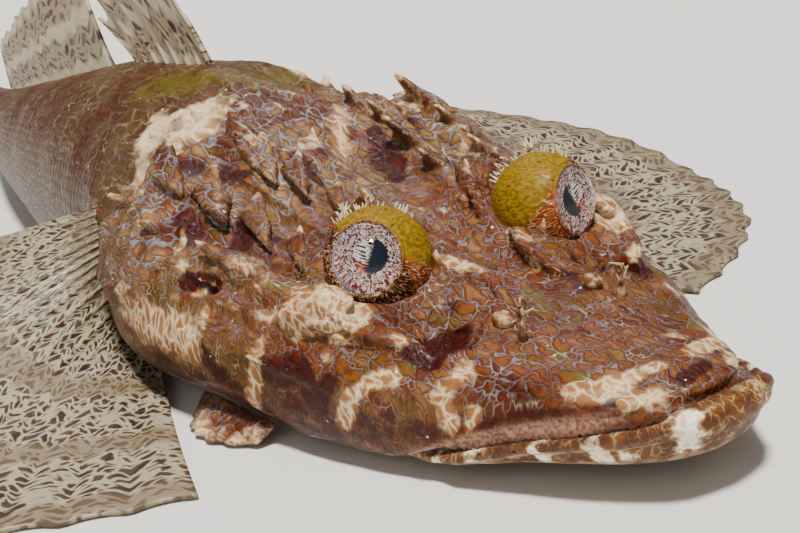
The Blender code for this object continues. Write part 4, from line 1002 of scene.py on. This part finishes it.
def ballProfile(share):
    # distance along the gaze, distance from it, and the unrolled distance from the pupil's middle
    form, big = eyeForm, eyeSet["radius"]
    inIris, inLip = share < form["irisEnd"], share < form["lipEnd"]
    turn = math.radians(form["lipAngle"])
    alpha = np.radians(np.interp(share, (form["irisEnd"], form["lipEnd"]), (-110, 80)))
    lipOut = form["lipCentre"] + form["lip"] * np.cos(alpha)
    lipSide = form["lip"] * np.sin(alpha)
    lipA = lipOut * math.cos(turn) - lipSide * math.sin(turn)
    lipR = lipOut * math.sin(turn) + lipSide * math.cos(turn)
    irisR = np.interp(share, (0, form["irisEnd"]), (0, form["iris"]))
    irisA = form["irisDepth"] + form["irisRise"] * (irisR / form["iris"]) ** 2
    theta = np.radians(np.interp(share, (form["lipEnd"], 1.0), (form["ballStart"], 180)))
    along = np.where(inIris, irisA, np.where(inLip, lipA, big * np.cos(theta)))
    out = np.where(inIris, irisR, np.where(inLip, lipR, big * np.sin(theta)))
    return along, out, np.where(inIris, irisR, form["iris"] + (share - form["irisEnd"]) * 22)


def domeProfile(share):
    form = eyeForm
    foot = form["domeFoot"] - math.sqrt(form["domeRadius"] ** 2 - form["domeEdge"] ** 2)
    turn = share * math.asin(form["domeEdge"] / form["domeRadius"])
    return foot + form["domeRadius"] * np.cos(turn), form["domeRadius"] * np.sin(turn), share


def turnMesh(name, rings, segments, profile, side, openBack=False):
    # a ball whose rings from the pole follow a profile round the gaze
    gaze, ahead, up = eyeAxes(side)
    piece = addMesh(bpy.ops.mesh.primitive_uv_sphere_add, segments=segments, ring_count=rings, radius=1)
    piece.name = name
    co = readPoints(piece)
    share = np.degrees(np.arccos(np.clip(co[:, 2], -1, 1))) / 180
    phi = np.arctan2(co[:, 1], co[:, 0])
    along, out, unrolled = profile(share)
    local = np.stack([out * np.cos(phi), out * np.sin(phi), along], axis=-1)
    writePoints(piece, np.array(eyeCentre(side)) + local @ np.stack([ahead, up, gaze]) / 1000)
    editMesh(piece, bpy.ops.mesh.normals_make_consistent, inside=False)
    if openBack:  # the far pole goes, so the piece is a dome
        editMesh(piece, bpy.ops.mesh.select_all, action="DESELECT")
        piece.data.vertices[int(share.argmax())].select = True
        bpy.ops.object.mode_set(mode="EDIT")
        bpy.ops.mesh.delete(type="VERT")
        bpy.ops.object.mode_set(mode="OBJECT")
    return piece, unrolled, phi


def spikeShape():
    spike = addMesh(bpy.ops.mesh.primitive_cone_add, vertices=7, radius1=0.5, radius2=0.12, depth=1)
    editMesh(spike, bpy.ops.mesh.subdivide, number_cuts=2)
    co = readPoints(spike) + (0, 0, 0.5)
    co[:, 0] += 0.25 * co[:, 2] ** 2
    co[:, :2] *= (1 + 0.25 * np.sin(co[:, 2:3] * 9))
    writePoints(spike, co)
    return spike


def plantSpike(template, foot, direction, length, width, turn):
    up = direction.normalized()
    side = Matrix.Rotation(turn, 3, up) @ up.orthogonal().normalized()
    return plantCopy(template, foot, (side, up.cross(side), up), (width, width, length))


def buildSpikes(name, side):
    # spikes along the ball's top, with gaps after the first ten and branched tufts between them
    centre, up = eyeCentre(side), eyeAxes(side)[2]
    template = spikeShape()
    rng = random.Random(11 if side > 0 else 12)
    made = []
    route = np.array(spikeRow[name], float)
    for n in range(spikeRow["count"]):
        share = n / (spikeRow["count"] - 1) * (len(route) - 1)
        spot = [np.interp(share, range(len(route)), route[:, i]) + rng.uniform(-0.03, 0.03) for i in range(3)]
        ray = Vector((spot[0], -side * spot[1], spot[2])).normalized()
        start = centre + ray * (eyeSet["radius"] - 0.4) / 1000
        lean = (ray + up * 0.3 + Vector((rng.uniform(-0.3, 0.3), rng.uniform(-0.3, 0.3), 0))).normalized()
        if n > 9 and rng.random() < 0.35:
            continue
        tall = 1.15 if n < 8 else 0.85
        made.append(plantSpike(template, start, lean, rng.uniform(1.2, 2.4) * tall, rng.uniform(0.5, 0.8), n * 2.4))
        if n in spikeRow["tufts"][name]:
            count, rise, tallest = (8, 0.0012, 3.0) if n in spikeRow["bigTufts"] else (4, 0.0004, 2.2)
            for _ in range(count):
                fan = (lean + Vector([rng.uniform(-0.8, 0.8) for _ in range(3)])).normalized()
                made.append(plantSpike(template, start + lean * rise, fan, rng.uniform(1.6, tallest), 0.6,
                                       rng.random() * 6))
    bpy.data.objects.remove(template)
    dress(joinPieces(made, "eyeSpikes_" + name), creamFlesh, "eye_skin")


def buildEye(name, side):
    ball, unrolled, phi = turnMesh("eyeBall_" + name, 150, 144, ballProfile, side)
    writePlaces(ball, "ballPlace", unrolled * np.cos(phi), unrolled * np.sin(phi), unrolled)
    out = (readPoints(ball) - np.array(eyeCentre(side))) * 1000 / eyeSet["radius"]
    ahead, inner, up = out[:, 0], out[:, 1] * side, out[:, 2]
    if side > 0:
        yellow = easeStep(0.10, 0.50, up * 0.85 + inner * 0.55 + ahead * 0.10)
        orange = easeStep(0.15, 0.55, inner * 0.9 + ahead * 0.35 + up * 0.2)
    else:
        yellow = easeStep(-0.05, 0.35, up * 0.65 + inner * 0.50 - ahead * 0.45)
        orange = easeStep(-0.3, 0.2, inner * 0.8 - ahead * 0.2)
    limb = easeStep(0.2, 0.9, -(np.cos(phi) * 0.8 + np.sin(phi) * 0.45))
    writeColours(ball, "ballTone", yellow, orange, limb)
    ripple = noiseField(out * eyeSet["radius"], 1.7, 2.0) * easeStep(7.5, 10, unrolled)
    writePoints(ball, readPoints(ball) + out * ripple[:, None] * 0.00016)
    dress(ball, eyeSkin, "eye_skin", "eye_" + name)
    cornea, _, _ = turnMesh("cornea_" + name, 32, 64, domeProfile, side, openBack=True)
    dress(cornea, clearCornea, "eye_skin")
    buildSpikes(name, side)


# The eye: a pale pink iris with a dark filigree, a deep blue pupil partly veiled, and skin round it
eyeTones = {
    "irisPink": "#d9aba6", "irisPale": "#f4e2da", "filigree": "#2a0e10", "lowerPale": "#f6ddd2",
    "lowerRed": "#6e2426", "veilRed": "#d9583f", "veilPale": "#f0e6da", "veilDark": "#170d12",
    "pupil": "#0b1626", "rim": "#a198ae", "ring": "#32120a", "spoke": "#c99a62", "orange": "#96470c",
    "orangeDark": "#5e2408", "orangePale": "#e3c49a", "gold": "#8c7303", "goldDark": "#6d4b03",
    "dash": "#2c1604", "fringe": "#54200e", "fringePale": "#dcbf98",
}


def eyeMaterial():
    material, add = newMaterial("flatheadEye", eyeTones)
    here = add("storedPlace", attribute_name="ballPlace")
    tone = add("rgb", add("storedColour", attribute_name="ballTone"))
    ahead, up, far = add("xyz", here)
    flat = add("vector", ahead, up)
    ray = add("xyz", add("direction", flat))
    radial = add("vector", add("times", ray[0], 9.0), add("times", ray[1], 9.0), add("times", far, 0.55))
    streak = add("noise", radial, 1.6, 3.0, 0.5, 0.5)
    fine = add("noise", flat, 2.4, 3.0, 0.5, 1.2)
    lower = add("mix", add("ramp", streak, 0.455, 0.515), "lowerPale", "lowerRed")
    iris = layered(add, add("mix", add("ramp", add("noise", flat, 0.6, 1.0), 0.35, 0.65), "irisPink", "irisPale"),
                   (add("ramp", fine, 0.475, 0.535), "filigree"),
                   (add("times", add("ramp", far, 3.6, 4.8), add("ramp", up, 1.0, -1.5)), lower))
    # pupil, set towards the snout, its rear part veiled by specks and streaks
    pupilFar = add("length", add("shiftedBack", flat, (0.8, 0.7, 0)))
    streaks = add("noise", add("mapped", flat, (0.7, 3.6, 1), (0, 0, 0.75)), 0.9, 2.0)
    veilTone = layered(add, add("mix", add("ramp", up, -1.6, 0.2), "veilRed", "veilPale"),
                       (add("ramp", streaks, 0.50, 0.56), "veilDark"))
    veil = add("ramp", add("plus", ahead, add("times", streaks, -3.0)), -1.4, -0.6, 1.0, 0.0)
    eye = layered(add, iris, (add("ramp", pupilFar, 2.85, 3.0, 1.0, 0.0), add("mix", veil, "pupil", veilTone)),
                  (add("times", add("ramp", far, 5.6, 6.0), add("ramp", tone[2], 0.3, 0.7)), "rim"))
    # skin of the ball: brown ring with gold spokes, yellow on top, orange towards the snout
    spokes = add("unsigned", add("minus", add("noise", radial, 1.35, 1.0), 0.5))
    spoke = add("ramp", spokes, 0.012, 0.035, 1.0, 0.0)
    fleck = add("noise", here, 1.5, 3.0)
    warm = layered(add, add("mix", add("ramp", fleck, 0.4, 0.62), "orange", "orangeDark"),
                   (add("times", spoke, 0.6), "orangePale"))
    gold = layered(add, add("mix", add("ramp", fleck, 0.38, 0.62), "gold", "goldDark"),
                   (add("ramp", add("cells", here, 0.42), 0.10, 0.16, 0.8, 0.0), "dash"))
    ragged = add("times", add("minus", fleck, 0.5), 0.8)
    fringe = add("plus", far, add("times", streak, 2.4))
    cover = layered(add, add("mix", spoke, "ring", "spoke"),
                    (add("ramp", add("plus", tone[1], ragged), 0.2, 0.7), warm),
                    (add("ramp", add("plus", tone[0], ragged), 0.25, 0.65), gold),
                    (add("ramp", fringe, 8.5, 9.3, 0.9, 0.0), add("mix", spoke, "fringe", "fringePale")))
    return finishMaterial(material, eyeTones, {
        "Base Color": add("mix", add("ramp", far, 6.3, 6.7), eye, cover),
        "Normal": add("bump", fleck, 0.35, 0.0003),
        "Roughness": 0.58, "Specular IOR Level": 0.18, "Coat Weight": 0.03, "Coat Roughness": 0.15})


# Clear cornea with water's smoothness, seen by its highlight and by how it lifts the iris
def corneaMaterial():
    material, _ = newMaterial("clearCornea", {})
    return finishMaterial(material, {}, {"Base Color": (1, 1, 1, 1), "Transmission Weight": 1.0, "Roughness": 0.0,
                                         "IOR": 1.34})


# Soft flesh with brown spots, cream on the eyes' spikes and tan on the nostrils
fleshLooks = {  # size of a spot in mm, and how much of the flesh the spots take
    "creamFlesh": {"pale": "#d9c8a4", "brown": "#8a5c30", "size": 1.6, "cover": (0.52, 0.66)},
    "tanFlesh": {"pale": "#bb9a70", "brown": "#6a4024", "size": 1.9, "cover": (0.42, 0.58)},
}


def softFlesh(name):
    look = fleshLooks[name]
    material, add = newMaterial(name, look)
    spot = add("noise", add("object"), 1000 / look["size"], 3.0)
    return finishMaterial(material, look, {
        "Base Color": add("mix", add("ramp", spot, *look["cover"]), "pale", "brown"),
        "Normal": add("bump", spot, 0.4, 0.0003), "Roughness": 0.42,
        "Subsurface Weight": 0.15, "Subsurface Radius": (0.001, 0.0008, 0.0005)})


# Nostrils: a rounded tube with a small opening, and a branched tentacle in front of it
nostrilSet = {"s": 39.5, "out": {1: 12.2, -1: 8.8}, "radius": 2.2, "ahead": 6.8, "height": 7.4}


def buildNostril(name, side, tree):
    out = nostrilSet["out"][side]
    spot, _ = onTop(tree, nostrilSet["s"], side * out)
    bulb = addMesh(bpy.ops.mesh.primitive_uv_sphere_add, segments=32, ring_count=24, radius=1)
    co = readPoints(bulb)
    wide = nostrilSet["radius"] * (1 - 0.22 * np.clip(-co[:, 2], 0, 1))
    hollow = easeStep(0.80, 0.97, co[:, 2]) * 1.8
    co = np.stack([co[:, 0] * wide * 1.12, co[:, 1] * wide * 0.86, co[:, 2] * 1.8 - hollow], axis=-1)
    co *= 1 + 0.10 * noiseField(co, 2.2, 7.0 + side)[:, None]
    writePoints(bulb, co / 1000 + np.array(spot) + (0.0002, 0, 0.0004))
    template = spikeShape()
    rng = random.Random(5 if side > 0 else 9)
    base, _ = onTop(tree, nostrilSet["s"] - nostrilSet["ahead"], side * (out + 0.8))
    trunk = Vector((0.12, -side * 0.12, 1)).normalized()
    made = [bulb, plantSpike(template, base - trunk * 0.001, trunk, nostrilSet["height"], 2.0, 0)]
    for k in range(9):  # branches
        rise = 0.25 + 0.08 * k
        fan = (trunk * 0.9 + Vector([rng.uniform(-1, 1) for _ in range(3)]) * 0.7).normalized()
        made.append(plantSpike(template, base + trunk * rise * nostrilSet["height"] / 1000, fan,
                               rng.uniform(1.8, 3.4), rng.uniform(0.8, 1.2), rng.random() * 6))
    bpy.data.objects.remove(template)
    dress(joinPieces(made, "nostril_" + name), tanFlesh, "skin")


sides = (("right", 1), ("left", -1))
fleshSkin, eyeSkin, clearCornea = wetSkin(), eyeMaterial(), corneaMaterial()
creamFlesh, tanFlesh = softFlesh("creamFlesh"), softFlesh("tanFlesh")
skinTree = surfaceTree([buildSkin()])
for name, side in sides:
    buildGillFlap(name)
    buildEye(name, side)
    buildNostril(name, side, skinTree)
print("eyes, nostrils and gill flaps done")
pectoralSkin, pelvicSkin, dorsalSkin, tailSkin = (finSkin(kind) for kind in finLooks)
for kind, fin, look in (("pectoral", pectoral, pectoralSkin), ("pelvic", pelvic, pelvicSkin)):
    for name, side in sides:
        pairedFin(kind + "Fin_" + name, fin, side, look, kind + "_fin_" + name)
medianFin("firstDorsal", firstDorsal, backTop, dorsalSkin, "first_dorsal_fin")
medianFin("secondDorsal", secondDorsal, backTop, dorsalSkin, "second_dorsal_fin")
medianFin("analFin", anal, bellyLow, tailSkin, "anal_fin")
tailFin("tailFin", caudal, tailSkin, "tail_fin")
print("fins done")

# The picture's side and framing, turns in degrees and place in metres from the tip of the snout
photoView = {"lens": 72.585, "yaw": -31.3, "pitch": -17.7, "roll": -9.0, "place": (0.1836, -0.1673, 0.1252)}
lamps = {  # place, power, size (a sun's is its angle) and colour; the sun lights the floor evenly
    "keyLamp": ("SUN", (0.34, -0.10, 0.64), 5.8, 0.152, (1.0, 0.96, 0.90)),
    "fillLamp": ("AREA", (0.46, -0.58, 0.34), 0.7, 0.4, (1.0, 0.97, 0.93)),
    "topLamp": ("AREA", (0.0, 0.05, 0.95), 0.8, 0.8, (0.96, 0.98, 1.0)),
    "rimLamp": ("AREA", (-0.35, 0.30, 0.65), 1.0, 0.3, (1.0, 1.0, 1.0)),
}
studio = {"aim": (0.14, 0, 0.02), "floor": "#e2e0dc", "floorSize": 60, "air": (0.86, 0.90, 0.96, 1),
          "airStrength": 0.20}


def placeCamera():
    camera = bpy.data.cameras.new("photoView")
    camera.sensor_width, camera.lens, camera.clip_start = 36, photoView["lens"], 0.01
    eye = bpy.data.objects.new("photoView", camera)
    bpy.context.scene.collection.objects.link(eye)
    yaw, pitch, roll = (math.radians(photoView[key]) for key in ("yaw", "pitch", "roll"))
    ahead = Vector((math.cos(pitch) * math.cos(yaw), math.cos(pitch) * math.sin(yaw), math.sin(pitch)))
    right = ahead.cross(Vector((0, 0, 1))).normalized()
    up = right.cross(ahead)
    turned = right * math.cos(roll) + up * math.sin(roll)
    raised = up * math.cos(roll) - right * math.sin(roll)
    flip = Vector((-1, -1, 1))  # from the fish's own axes to the world's
    axes = Matrix((turned * flip, raised * flip, -ahead * flip)).transposed().to_4x4()
    axes.translation = Vector((fish["noseX"] / 1000, 0, 0)) + Vector(photoView["place"])
    eye.matrix_world = axes
    bpy.context.scene.camera = eye


def buildStage():
    # a pale matte floor, one soft sun and three small soft lamps
    floor = addMesh(bpy.ops.mesh.primitive_plane_add, size=studio["floorSize"])
    floor.name = "studioFloor"
    material, _ = newMaterial("matteFloor", studio)
    floor.data.materials.append(finishMaterial(material, studio, {"Base Color": "floor", "Roughness": 0.85}))
    world = bpy.data.worlds.new("studioAir")
    world.use_nodes = True
    fillSockets(world.node_tree.nodes["Background"], studio,
                {"Color": studio["air"], "Strength": studio["airStrength"]})
    bpy.context.scene.world = world
    for name, (kind, place, power, size, colour) in lamps.items():
        lamp = bpy.data.lights.new(name, kind)
        lamp.energy, lamp.color = power, colour
        setattr(lamp, "angle" if kind == "SUN" else "size", size)
        holder = bpy.data.objects.new(name, lamp)
        bpy.context.scene.collection.objects.link(holder)
        holder.location = place
        holder.rotation_euler = (Vector(studio["aim"]) - Vector(place)).to_track_quat("-Z", "Y").to_euler()


placeCamera()
buildStage()
